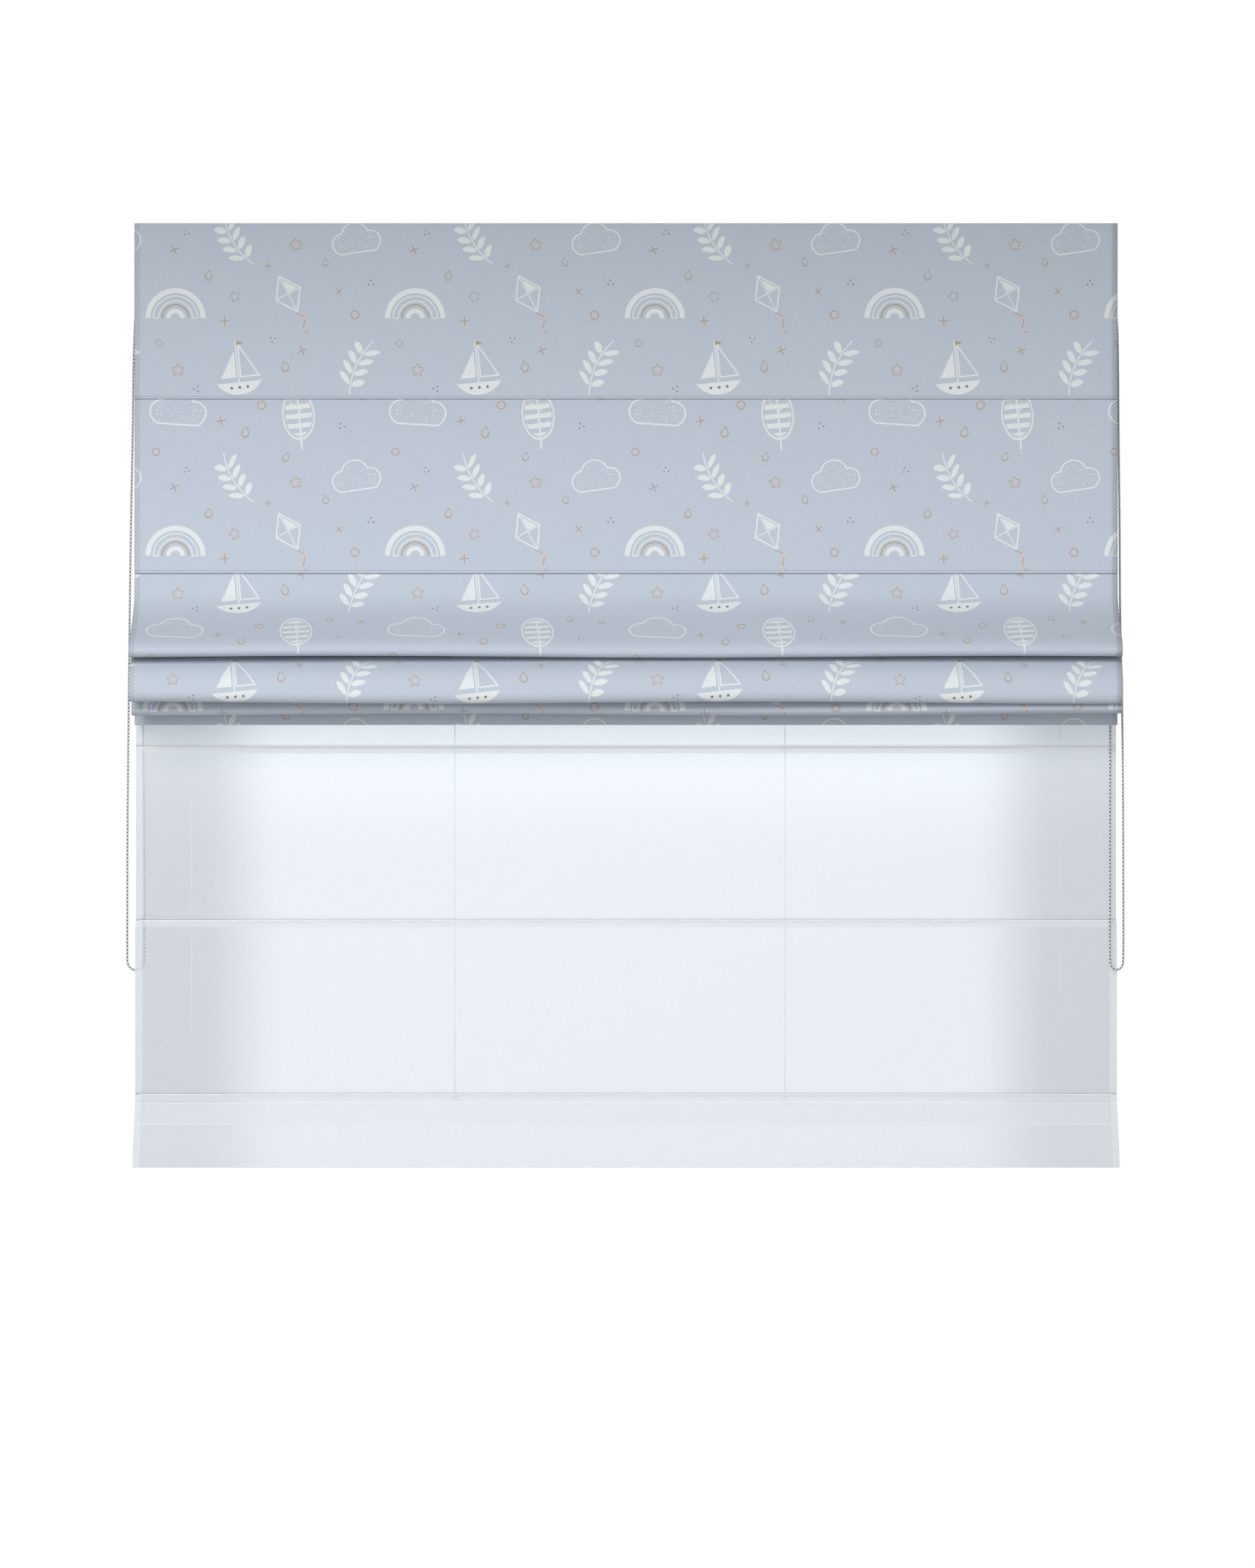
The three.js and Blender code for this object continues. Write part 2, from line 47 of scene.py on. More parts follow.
# A node tree, with short ways to add its nodes and feed their sockets
class Graph:
    def __init__(self, tree):
        self.tree = tree

    def feed(self, socket, value):
        if isinstance(value, bpy.types.NodeSocket):
            self.tree.links.new(value, socket)
        elif socket.type == "VECTOR" and isinstance(value, (int, float)):
            socket.default_value = (value, value, value)
        else:
            socket.default_value = value

    def node(self, kind, inputs=None, **settings):
        made = self.tree.nodes.new("ShaderNode" + kind)
        for name, value in settings.items():
            setattr(made, name, value)
        for name, value in (inputs or {}).items():
            self.feed(made.inputs[name], value)
        return made

    def math(self, operation, *values, clamp=False):
        made = self.node("Math", operation=operation, use_clamp=clamp)
        for socket, value in zip(made.inputs, values):
            self.feed(socket, value)
        return made.outputs[0]

    def vector(self, operation, *values):
        made = self.node("VectorMath", operation=operation)
        for socket, value in zip(made.inputs, values):
            self.feed(socket, value)
        return made.outputs["Value" if operation in ("LENGTH", "DISTANCE", "DOT_PRODUCT") else "Vector"]

    def mixed(self, kind, factor, first, second):
        made = self.node("Mix", data_type=kind)
        slots = {"FLOAT": (2, 3), "VECTOR": (4, 5), "RGBA": (6, 7)}[kind]
        self.feed(made.inputs[0], factor)
        self.feed(made.inputs[slots[0]], first)
        self.feed(made.inputs[slots[1]], second)
        return made.outputs[{"FLOAT": 0, "VECTOR": 1, "RGBA": 2}[kind]]

    def ranged(self, value, low, high, start=0.0, end=1.0, smooth=False):
        made = self.node(
            "MapRange",
            {"Value": value, "From Min": low, "From Max": high, "To Min": start, "To Max": end},
            interpolation_type="SMOOTHSTEP" if smooth else "LINEAR",
        )
        return made.outputs["Result"]

    def noise(self, place, scale, detail=2.0, roughness=0.5, colour=False):
        made = self.node(
            "TexNoise", {"Vector": place, "Scale": scale, "Detail": detail, "Roughness": roughness}
        )
        return made.outputs["Color" if colour else "Fac"]

    def split(self, vector):
        return self.node("SeparateXYZ", {"Vector": vector}).outputs

    def joined(self, x, y, z=0.0):
        return self.node("CombineXYZ", {"X": x, "Y": y, "Z": z}).outputs[0]

    def plus(self, first, second):
        return self.math("ADD", first, second)

    def minus(self, first, second):
        return self.math("SUBTRACT", first, second)

    def times(self, first, second):
        return self.math("MULTIPLY", first, second)

    def positive(self, value):
        return self.math("ABSOLUTE", value)

    def least(self, *values):
        return reduce(lambda first, second: self.math("MINIMUM", first, second), values)

    def most(self, *values):
        return reduce(lambda first, second: self.math("MAXIMUM", first, second), values)

    def group(self, tree, inputs):
        return self.node("Group", inputs, node_tree=tree).outputs

    def turned(self, place, angle):
        inputs = {"Vector": place, "Angle": angle}
        return self.node("VectorRotate", inputs, rotation_type="Z_AXIS").outputs[0]

    def bumpy(self, height):
        return self.node("Bump", {"Distance": mm, "Height": height}).outputs["Normal"]

    def shaded(self, colour, value):
        return self.node("HueSaturation", {"Value": value, "Color": colour}).outputs[0]

    def blended(self, share, first, second):
        return self.node("MixShader", {0: share, 1: first, 2: second}).outputs[0]


# A node group with its sockets, as names and kinds each way
def nodeGroup(name, inputs, outputs):
    tree = bpy.data.node_groups.new(name, "ShaderNodeTree")
    for direction, sockets in (("INPUT", inputs), ("OUTPUT", outputs)):
        for socketName, kind in sockets.items():
            tree.interface.new_socket(socketName, in_out=direction, socket_type="NodeSocket" + kind)
    return Graph(tree), tree.nodes.new("NodeGroupInput").outputs, tree.nodes.new("NodeGroupOutput").inputs


def newMaterial(name):
    made = bpy.data.materials.new(name)
    made.use_nodes = True
    graph = Graph(made.node_tree)
    return made, graph, made.node_tree.nodes["Principled BSDF"].inputs


# Woven surface: fine threads both ways over the cloth's crinkle, as a normal and a grain from 0 to 1
graph, source, sink = nodeGroup(
    "wovenSurface",
    {"Place": "Vector", "Thread": "Float", "Crinkle": "Float", "Height": "Float"},
    {"Normal": "Vector", "Grain": "Float"},
)
place = graph.split(graph.vector("MULTIPLY", source["Place"], (1000, 1000, 0)))
threads = graph.math("DIVIDE", 2 * pi, source["Thread"])
warp = graph.math("SINE", graph.times(place["X"], threads))
weft = graph.math("SINE", graph.times(place["Y"], threads))
flat = graph.joined(place["X"], place["Y"])
grain = graph.noise(flat, graph.math("DIVIDE", 1.0, source["Crinkle"]), 3.0, 0.6)
height = graph.math("MULTIPLY_ADD", graph.times(warp, weft), 0.1, grain)
graph.feed(sink["Normal"], graph.bumpy(graph.times(height, source["Height"])))
graph.feed(sink["Grain"], graph.ranged(grain, 0.3, 0.7))
wovenSurface = graph.tree

# The print, in millimetres: one repeat of motifs, whose edges wobble a little
printTile = {"width": 390, "height": 410, "wobble": 2.2, "wobbleScale": 55, "soft": 0.45}
inkNames = ("Light", "Gold", "Dark", "Pink")
farAway = 100

graph, source, sink = nodeGroup("clothPrint", {"Place": "Vector"}, dict.fromkeys(inkNames, "Float"))


# Distances from plain shapes, less than nought inside them
def disc(place, centre, radius):
    return graph.minus(graph.vector("DISTANCE", place, (*centre, 0)), radius)


def edge(place, direction, offset):
    return graph.minus(graph.vector("DOT_PRODUCT", place, (*direction, 0)), offset)


# The distance from a line drawn along a shape's edge
def outline(distance, width):
    return graph.minus(graph.positive(distance), width / 2)


def oval(place, halves, scale):
    away = graph.vector("LENGTH", graph.vector("DIVIDE", place, (*halves, 1)))
    return graph.times(graph.minus(away, 1.0), scale)


def stroke(place, start, end, width):
    line = Vector((end[0] - start[0], end[1] - start[1], 0))
    fromStart = graph.vector("SUBTRACT", place, (*start, 0))
    share = graph.vector("DOT_PRODUCT", fromStart, line)
    share = graph.math("DIVIDE", share, line.length_squared, clamp=True)
    nearest = graph.vector("MULTIPLY", share, line)
    return graph.minus(graph.vector("DISTANCE", fromStart, nearest), width / 2)


def triangle(place, corners):
    sides = []
    for (ax, ay), (bx, by) in zip(corners, corners[1:] + corners[:1]):
        out = Vector((by - ay, ax - bx)).normalized()
        sides.append(edge(place, out, out.dot((ax, ay))))
    return graph.most(*sides)


# Each kind of motif gives its inks' distances
def cloudMotif(place, x, y):
    body = graph.least(
        disc(place, (-21, -2), 16), disc(place, (-1, 8), 21), disc(place, (22, -1), 15.5),
        stroke(place, (-24, -9), (25, -8), 18),
    )
    specks = graph.ranged(graph.noise(place, 0.42, 0.0), 0.66, 0.7, farAway, -1)
    inside = graph.plus(body, 4)
    return {"Light": graph.least(outline(body, 2.2), graph.most(inside, specks))}


def treeMotif(place, x, y):
    crown = oval(place, (21, 33), 23)
    band = graph.minus(3.2, graph.math("PINGPONG", graph.plus(y, 60), 6.5))
    filled = graph.most(graph.plus(crown, 3), band)
    trunk = graph.least(
        stroke(place, (0, -46), (1, 20), 2.4),
        stroke(place, (0, 2), (10, 12), 1.6),
        stroke(place, (0, 8), (-9, 17), 1.6),
    )
    apples = graph.least(disc(place, (11, 15), 1.7), disc(place, (-10, 20), 1.7))
    return {"Light": graph.least(outline(crown, 2.2), filled, trunk), "Pink": apples}


def boatMotif(place, x, y):
    hull = graph.most(disc(place, (0, 6), 36), graph.plus(y, 13))
    leftSail = triangle(place, [(-3, -6), (-3, 30), (-24, -6)])
    rightSail = triangle(place, [(3, -6), (28, -6), (3, 38)])
    mast = stroke(place, (0, -14), (0, 43), 1.8)
    flag = triangle(place, [(1, 37), (11, 40), (1, 43)])
    mirrored = graph.joined(graph.positive(x), y)
    portholes = graph.least(disc(mirrored, (11, -20), 1.9), disc(mirrored, (0, -20), 1.9))
    light = graph.least(hull, leftSail, outline(rightSail, 2), mast)
    return {"Light": light, "Dark": portholes, "Gold": flag}


def sprigMotif(place, x, y):
    bent = graph.math("MULTIPLY_ADD", graph.times(y, y), -0.005, x)
    beside = graph.positive(bent)
    step = graph.minus(graph.math("FLOORED_MODULO", graph.plus(y, 30), 15), 9)
    leafPlace = graph.turned(graph.joined(graph.minus(beside, 10), step), radians(-38))
    leaves = graph.most(oval(leafPlace, (10, 4), 4), outline(y, 60))
    stem = graph.most(graph.minus(beside, 0.9), outline(y, 80))
    return {"Light": graph.least(leaves, stem)}


def rainbowMotif(place, x, y):
    ring = graph.vector("DISTANCE", place, (0, -18, 0))
    ground = graph.minus(-18, y)

    def band(radius, width):
        return graph.most(outline(graph.minus(ring, radius), width), ground)

    outer = band(38, 7)
    inner = graph.least(outline(band(27, 7), 1.6), band(10, 6))
    return {"Light": graph.least(outer, inner), "Gold": band(18.5, 1.6)}


def kiteMotif(place, x, y):
    across = graph.math("DIVIDE", graph.positive(x), 19)
    up = graph.math("DIVIDE", graph.positive(graph.minus(y, 16)), 28)
    sail = graph.times(graph.minus(graph.plus(across, up), 1.0), 15)
    cross = graph.least(stroke(place, (0, -10), (0, 42), 1.4), stroke(place, (-17, 16), (17, 16), 1.4))
    quarter = graph.most(graph.plus(sail, 2.5), graph.minus(1.5, x), graph.minus(17.5, y))
    sway = graph.times(graph.math("SINE", graph.math("DIVIDE", y, 5)), 4)
    tail = outline(graph.minus(x, sway), 1.4)
    tail = graph.most(tail, outline(graph.plus(y, 29), 34))
    bows = graph.least(disc(place, (4, -24), 2.6), disc(place, (-4, -39), 2.6))
    return {"Light": graph.least(outline(sail, 2), cross, quarter), "Gold": tail, "Pink": bows}


def plusMotif(place, x, y):
    bars = (stroke(place, (-7, 0), (7, 0), 1.5), stroke(place, (0, -7), (0, 7), 1.5))
    return {"Gold": graph.least(*bars)}


def dropMotif(place, x, y):
    narrowing = graph.math("MULTIPLY_ADD", graph.math("MAXIMUM", y, 0.0), 0.13, 1.0)
    across = graph.times(x, narrowing)
    shape = graph.joined(across, graph.times(y, 0.72))
    return {"Gold": outline(disc(shape, (0, 0), 6), 1.4)}


def ringMotif(place, x, y):
    around = graph.vector("LENGTH", place)
    circle = outline(graph.minus(around, 6.5), 1.4)
    return {"Gold": circle, "Pink": graph.minus(around, 1.8)}


def trioMotif(place, x, y):
    dots = [disc(place, centre, 1.2) for centre in ((0, 4.5), (-4, -2.5), (4, -2.5))]
    return {"Dark": graph.least(*dots)}


def flowerMotif(place, x, y):
    angle = graph.math("ARCTAN2", y, x)
    petals = graph.math("MULTIPLY_ADD", graph.math("SINE", graph.times(angle, 5)), 2.0, 7.5)
    around = graph.vector("LENGTH", place)
    rim = outline(graph.minus(around, petals), 1.4)
    return {"Gold": rim, "Pink": graph.minus(around, 2.2)}


# The motifs: reach in millimetres, shape, and places in one repeat as across, up, turn in degrees, size
motifs = (
    (46, cloudMotif, ((52, 52, -5, 1.22), (342, 352, 7, 1.05))),
    (50, treeMotif, ((248, 46, 6, 1.2),)),
    (48, boatMotif, ((150, 138, 6, 1.2),)),
    (46, sprigMotif, ((342, 150, -24, 1.2), (142, 350, 31, 1.15))),
    (46, rainbowMotif, ((48, 248, 0, 1.18),)),
    (50, kiteMotif, ((240, 250, 28, 1.16),)),
    (12, plusMotif, (
        (122, 36, 10, 1.0), (352, 74, 48, 0.9), (254, 174, 22, 1.0), (128, 222, 4, 1.0),
        (314, 270, 40, 0.85), (46, 338, 25, 1.0), (198, 312, 15, 0.75),
    )),
    (12, dropMotif, (
        (162, 18, -14, 1.0), (300, 84, 16, 0.85), (226, 148, 8, 1.0), (102, 296, -8, 0.9),
        (228, 388, -20, 0.85), (292, 318, 12, 0.8),
    )),
    (12, ringMotif, ((188, 62, 0, 1.0), (22, 186, 0, 0.8), (340, 232, 0, 1.0), (16, 396, 0, 0.9))),
    (12, trioMotif, (
        (318, 28, 20, 1.0), (82, 112, -30, 1.0), (206, 192, 50, 0.9), (366, 284, 0, 1.0),
        (66, 366, 12, 0.9),
    )),
    (14, flowerMotif, ((52, 142, 0, 1.0), (144, 262, 20, 0.9), (244, 346, 8, 1.0))),
)

# The nearest motif, measured in its own reach, wins at each place, so none is cut by the repeat's edge
wobble = graph.noise(source["Place"], printTile["wobbleScale"], 4.0, 0.6, colour=True)
flat = graph.vector("MULTIPLY", source["Place"], (1000, 1000, 0))
flat = graph.vector("MULTIPLY_ADD", wobble, (printTile["wobble"], printTile["wobble"], 0), flat)
half = (printTile["width"] / 2, printTile["height"] / 2)
best = farAway
bestPlace = (0, 0, 0)
bestFacts = (0, 0, 1)
for number, (reach, _, places) in enumerate(motifs):
    for across, up, turn, size in places:
        shifted = graph.vector("SUBTRACT", flat, (across, up, 0))
        local = graph.vector("WRAP", shifted, (*half, 1), (-half[0], -half[1], -1))
        share = graph.times(graph.vector("LENGTH", local), 1 / (reach * size))
        nearer = graph.math("LESS_THAN", share, best)
        best = graph.math("MINIMUM", share, best)
        bestPlace = graph.mixed("VECTOR", nearer, bestPlace, local)
        bestFacts = graph.mixed("VECTOR", nearer, bestFacts, (number, radians(turn), size))
facts = graph.split(bestFacts)
turned = graph.turned(bestPlace, graph.times(facts["Y"], -1.0))
motifPlace = graph.vector("DIVIDE", turned, graph.joined(facts["Z"], facts["Z"], 1.0))
motifParts = graph.split(motifPlace)
inked = dict.fromkeys(inkNames, farAway)
for number, (_, motif, _) in enumerate(motifs):
    other = graph.math("MULTIPLY_ADD", graph.math("COMPARE", facts["X"], number, 0.1), -farAway, farAway)
    for ink, distance in motif(motifPlace, motifParts["X"], motifParts["Y"]).items():
        inked[ink] = graph.math("MINIMUM", inked[ink], graph.plus(distance, other))
for ink in inkNames:
    graph.feed(sink[ink], graph.ranged(inked[ink], printTile["soft"], -printTile["soft"]))
clothPrint = graph.tree
print("print group built,", len(graph.tree.nodes), "nodes")

# The cotton's look; its stitch lines lie on the flat cloth, in metres across or down
cottonLook = {
    "cloth": (0.472, 0.522, 0.596),
    "inks": {
        "Light": (0.76, 0.79, 0.77), "Gold": (0.4, 0.27, 0.09), "Dark": (0.08, 0.09, 0.11),
        "Pink": (0.78, 0.47, 0.42),
    },
    "inkCover": {"Light": 0.8, "Gold": 0.85, "Dark": 0.85, "Pink": 0.7},
    "brushScale": 900.0,
    "brush": (0.36, 0.48, 0.45, 1.0),
    "weave": {"Thread": 0.7, "Crinkle": 2.6, "Height": 0.22},
    "grainShade": (0.93, 1.05),
    "sideStitch": 0.7925,
    "sideStitchWidth": 0.0009,
    "sideHemShade": 0.97,
    "seamStitches": (0.3116, 0.6189),
    "seamStitchWidth": 0.0013,
    "surface": {"Roughness": 0.92, "Specular IOR Level": 0.25, "Sheen Weight": 0.15},
}


def setValues(shader, values):
    for socket, value in values.items():
        shader[socket].default_value = value


# A thin darker line where a value is near a place
def stitchLine(graph, value, place, width, shade=0.84):
    away = graph.positive(graph.minus(value, place))
    return graph.ranged(away, width * 0.5, width, shade, 1.0)


def cottonFinish(name, printShare):
    made, graph, shader = newMaterial(name)
    look = cottonLook
    place = graph.node("UVMap", uv_map="flatCloth").outputs[0]
    woven = graph.group(wovenSurface, {"Place": place, **look["weave"]})
    inks = graph.group(clothPrint, {"Place": place})
    brush = graph.ranged(graph.noise(place, look["brushScale"], 3.0, 0.7), *look["brush"])
    colour = (*look["cloth"], 1)
    for ink in inkNames:
        cover = graph.times(inks[ink], look["inkCover"][ink] * printShare)
        if ink == "Light":
            cover = graph.times(cover, brush)
        colour = graph.mixed("RGBA", cover, colour, (*look["inks"][ink], 1))
    flatPlace = graph.split(place)
    sideways = graph.positive(flatPlace["X"])
    stitch = stitchLine(graph, sideways, look["sideStitch"], look["sideStitchWidth"])
    for down in look["seamStitches"]:
        seam = stitchLine(graph, flatPlace["Y"], -down, look["seamStitchWidth"])
        stitch = graph.times(stitch, seam)
    hemEdge = look["sideStitch"]
    doubled = graph.ranged(sideways, hemEdge, hemEdge + mm, 1.0, look["sideHemShade"])
    shade = graph.times(graph.ranged(woven["Grain"], 0.0, 1.0, *look["grainShade"]), stitch)
    shade = graph.times(shade, doubled)
    graph.feed(shader["Base Color"], graph.shaded(colour, shade))
    graph.feed(shader["Normal"], woven["Normal"])
    setValues(shader, look["surface"])
    return made


cottonMaterial = cottonFinish("printedCotton", 1.0)
cottonReverse = cottonFinish("cottonReverse", 0.18)

# The voile's look; cover is how much of it isn't a gap, and its stitch lines are in metres too
voileLook = {
    "colour": (0.9, 0.925, 0.955),
    "weave": {"Thread": 0.5, "Crinkle": 1.6, "Height": 0.08},
    "cover": (0.36, 0.44),
    "slub": (420, 620, 1),
    "sideHem": 0.787,
    "sideHemCover": 0.2,
    "sideStitch": 0.788,
    "sideStitchWidth": 0.0009,
    "stitches": (0.3079, 0.619, 0.9301, 1.2412, 1.5523, 1.5967, 1.6312),
    "stitchWidth": (0.0005, 0.0012),
    "stitchCover": 0.3,
    "glow": 0.22,
    "surface": {"Roughness": 0.95, "Specular IOR Level": 0.2},
}
voileMaterial, graph, shader = newMaterial("whiteVoile")
place = graph.node("UVMap", uv_map="flatCloth").outputs[0]
woven = graph.group(wovenSurface, {"Place": place, **voileLook["weave"]})
slub = graph.noise(graph.vector("MULTIPLY", place, voileLook["slub"]), 1.0, 3.0, 0.7)
flatPlace = graph.split(place)
sideways = graph.positive(flatPlace["X"])
hemmed = graph.math("GREATER_THAN", sideways, voileLook["sideHem"])
cover = graph.ranged(slub, 0.3, 0.7, *voileLook["cover"])
cover = graph.plus(cover, graph.times(hemmed, voileLook["sideHemCover"]))
for down in voileLook["stitches"]:
    away = graph.positive(graph.plus(flatPlace["Y"], down))
    thicker = graph.ranged(away, *voileLook["stitchWidth"], voileLook["stitchCover"], 0.0)
    cover = graph.plus(cover, thicker)
stitch = stitchLine(graph, sideways, voileLook["sideStitch"], voileLook["sideStitchWidth"])
tinted = graph.shaded((*voileLook["colour"], 1), stitch)
graph.feed(shader["Base Color"], tinted)
graph.feed(shader["Alpha"], cover)
graph.feed(shader["Normal"], woven["Normal"])
setValues(shader, voileLook["surface"])
surface = voileMaterial.node_tree.nodes["Principled BSDF"].outputs[0]
glow = graph.node("BsdfTranslucent", {"Color": tinted}).outputs[0]
clear = graph.node("BsdfTransparent").outputs[0]
both = graph.blended(voileLook["glow"], surface, graph.blended(cover, clear, glow))
graph.feed(voileMaterial.node_tree.nodes["Material Output"].inputs["Surface"], both)

# Hard surfaces: a fine skin of bumps with a little change of tone, stretched along X where drawn or spun
graph, source, sink = nodeGroup(
    "fineSurface",
    {"Scale": "Float", "Stretch": "Float", "Height": "Float", "Tone": "Float"},
    {"Normal": "Vector", "Shade": "Float"},
)
place = graph.node("TexCoord").outputs["Object"]
stretched = graph.vector("DIVIDE", place, graph.joined(source["Stretch"], 1.0, 1.0))
skin = graph.noise(stretched, source["Scale"], 3.0, 0.6)
graph.feed(sink["Normal"], graph.bumpy(graph.times(skin, source["Height"])))
low = graph.minus(1.0, source["Tone"])
graph.feed(sink["Shade"], graph.ranged(skin, 0.3, 0.7, low, 1.0))
fineSurface = graph.tree


def hardFinish(name, colour, roughness, scale, height, tone=0.04, stretch=1.0, **others):
    made, graph, shader = newMaterial(name)
    settings = {"Scale": scale, "Stretch": stretch, "Height": height, "Tone": tone}
    skin = graph.group(fineSurface, settings)
    graph.feed(shader["Base Color"], graph.shaded((*colour, 1), skin["Shade"]))
    graph.feed(shader["Normal"], skin["Normal"])
    others = {socket.replace("_", " "): value for socket, value in others.items()}
    setValues(shader, {"Roughness": roughness, **others})
    return made


railMetal = hardFinish("coatedRail", (0.84, 0.85, 0.86), 0.36, 900, 0.03, Specular_IOR_Level=0.5)
whitePlastic = hardFinish("whitePlastic", (0.86, 0.86, 0.84), 0.42, 500, 0.02)
hookTape = hardFinish("hookTape", (0.78, 0.79, 0.8), 1.0, 2200, 0.6, tone=0.25)
glassFibre = hardFinish("glassFibreRod", (0.85, 0.87, 0.86), 0.3, 1500, 0.05, tone=0.12, stretch=60)
clearPlastic = hardFinish(
    "clearPlastic", (0.93, 0.95, 0.96), 0.15, 600, 0.01, Transmission_Weight=0.6, IOR=1.49
)
braidedCord = hardFinish(
    "braidedCord", (0.95, 0.96, 0.97), 0.85, 2600, 0.35, tone=0.12,
    Subsurface_Weight=1.0, Subsurface_Scale=0.003,
)
# The chain is white plastic: the beads' grey is painted shade of their rims, and the near-black core is a
# painted shadow in the gaps between the beads
chainBeadsWithPaintedShade = hardFinish("beadChain", (0.62, 0.63, 0.65), 0.22, 700, 0.01)
chainCorePaintedShadow = hardFinish("chainCorePaintedShadow", (0.1, 0.105, 0.115), 0.5, 900, 0.02)
screwSteel = hardFinish("screwSteel", (0.6, 0.61, 0.62), 0.3, 900, 0.03, Metallic=1.0)

# The finish and slot of each CAD node, by a word of its name
nodeFinishes = (
    ({"rail", "bracket"}, railMetal, "rail_metal"),
    ({"drive", "cap", "spool"}, whitePlastic, "white_plastic"),
    ({"tape"}, hookTape, "hook_tape"),
    ({"rod"}, glassFibre, "glass_fibre_rod"),
    ({"lift"}, braidedCord, "lift_cord"),
    ({"ring"}, clearPlastic, "clear_plastic"),
)
for nodeName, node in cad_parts.items():
    words = set(nodeName.split("_"))
    for kinds, finish, slotName in nodeFinishes:
        if words & kinds:
            node.data.materials.clear()
            node.data.materials.append(finish)
    if words & {"rail", "bracket", "drive", "cap"}:
        bevel = node.modifiers.new("softEdges", "BEVEL")
        bevel.width = 0.35 * mm
        bevel.segments = 2
        bevel.limit_method = "ANGLE"
print("finishes built")


# Mesh helpers: points in millimetres in the part's frame
def meshObject(name, points, faces, material, smooth=True):
    mesh = bpy.data.meshes.new(name)
    mesh.from_pydata([(x * mm, y * mm, z * mm) for x, y, z in points], [], faces)
    mesh.update()
    if smooth:
        mesh.shade_smooth()
    mesh.materials.append(material)
    made = bpy.data.objects.new(name, mesh)
    scene.collection.objects.link(made)
    return made


def ridesRoot(made, slotName, *replaced):
    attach(made, "root")
    if replaced:
        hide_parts(*replaced)


def arc(centre, radius, start, stop, steps):
    angles = [radians(start + (stop - start) * i / steps) for i in range(steps + 1)]
    return [(centre[0] + radius * cos(a), centre[1] + radius * sin(a)) for a in angles]


def bezier(a, b, c, d, steps):
    points = []
    for i in range(steps + 1):
        t = i / steps
        s = 1 - t
        weights = (s**3, 3 * s * s * t, 3 * s * t * t, t**3)
        points.append(tuple(sum(w * p[k] for w, p in zip(weights, (a, b, c, d))) for k in (0, 1)))
    return points


def smoothStep(low, high, value):
    t = min(max((value - low) / (high - low), 0), 1)
    return t * t * (3 - 2 * t)


# Cloth paths in the section plane: points are (forward, height), forward being towards the room
blind = {
    "width": 1600, "top": 20, "panelDrop": 284, "hemDrop": 120, "seams": 5, "headingTurn": 30,
    "hemTurn": 107, "hemTurnIn": 36, "swellFrom": 0.02, "swellSpread": 210, "swellShift": 2.1,
}


def headingPath(cloth):
    radius = cloth["layer"] / 2
    fold = (-radius, cloth["top"] - cloth["thickness"] / 2 - radius)
    return [(-cloth["layer"], cloth["top"] - blind["headingTurn"])] + arc(fold, radius, 180, 0, 8)


def hemPath(cloth, bottom, startForward, startHeight):
    wide = cloth["layer"]
    narrow = wide / 2
    hemTop = bottom + blind["hemTurn"]
    turn = bottom + cloth["thickness"] / 2 + wide
    return [
        (startForward, startHeight),
        (startForward, (startHeight + turn) / 2),
        *arc((startForward - wide, turn), wide, 0, -180, 10),
        *arc((startForward - wide - narrow, hemTop - narrow), narrow, 180, 0, 6),
        (startForward - wide, hemTop - blind["hemTurnIn"]),
    ]


# How many steps each stretch of a path needs, so that none is longer than the wanted one
def stepCounts(path, longest):
    return [max(1, ceil(dist(p, q) / longest)) for p, q in zip(path, path[1:])]


def withSteps(path, counts):
    points = [path[0]]
    for p, q, count in zip(path, path[1:], counts):
        points += [tuple(p[k] + (q[k] - p[k]) * i / count for k in (0, 1)) for i in range(1, count + 1)]
    return points


def lengthsAlong(path):
    lengths = [0]
    for p, q in zip(path, path[1:]):
        lengths.append(lengths[-1] + dist(p, q))
    return lengths


def sectionNormals(path):
    normals = []
    for i in range(len(path)):
        p, q = path[max(i - 1, 0)], path[min(i + 1, len(path) - 1)]
        length = dist(p, q) or 1
        normals.append(((p[1] - q[1]) / length, (q[0] - p[0]) / length))
    return normals


# How free each row is: 0 where another layer lies close, 1 where folds may lift it
def freeRows(path, along, apart=12, around=24, closest=2.5, clear=9):
    gaps = []
    for p, v in zip(path, along):
        gaps.append(min(dist(p, q) for q, w in zip(path, along) if abs(v - w) > apart))
    free = []
    for v in along:
        gap = min(gap for gap, w in zip(gaps, along) if abs(v - w) < around)
        free.append(smoothStep(closest, clear, gap))
    return free


# A sheet of rows along the path and stations across, with the flat cloth's own place as its UV map
def clothSheet(name, cloth, pathAt, place, material):
    shares = [i / (cloth["stations"] - 1) for i in range(cloth["stations"])]
    nominal = pathAt(0.5)
    counts = stepCounts(nominal, cloth["longestStep"])
    nominal = withSteps(nominal, counts)
    along = lengthsAlong(nominal)
    free = freeRows(nominal, along)
    rows = len(along)
    points = []
    for share in shares:
        path = withSteps(pathAt(share), counts)
        x = (share - 0.5) * blind["width"]
        for (f, z), (nf, nz), v, freedom in zip(path, sectionNormals(path), along, free):
            lift = freedom * foldRelief(cloth["folds"], x, v)
            points.append(place(share, f + nf * lift, z + nz * lift))
    faces = []
    for s in range(len(shares) - 1):
        for r in range(rows - 1):
            a = s * rows + r
            faces.append((a, a + 1, a + 1 + rows, a + rows))
    made = meshObject(name, points, faces, material)
    layer = made.data.uv_layers.new(name="flatCloth")
    for loop in made.data.loops:
        s, r = divmod(loop.vertex_index, rows)
        layer.data[loop.index].uv = ((shares[s] - 0.5) * blind["width"] * mm, -along[r] * mm)
    return made


def gaussian(value, width):
    return exp(-((value / width) ** 2))
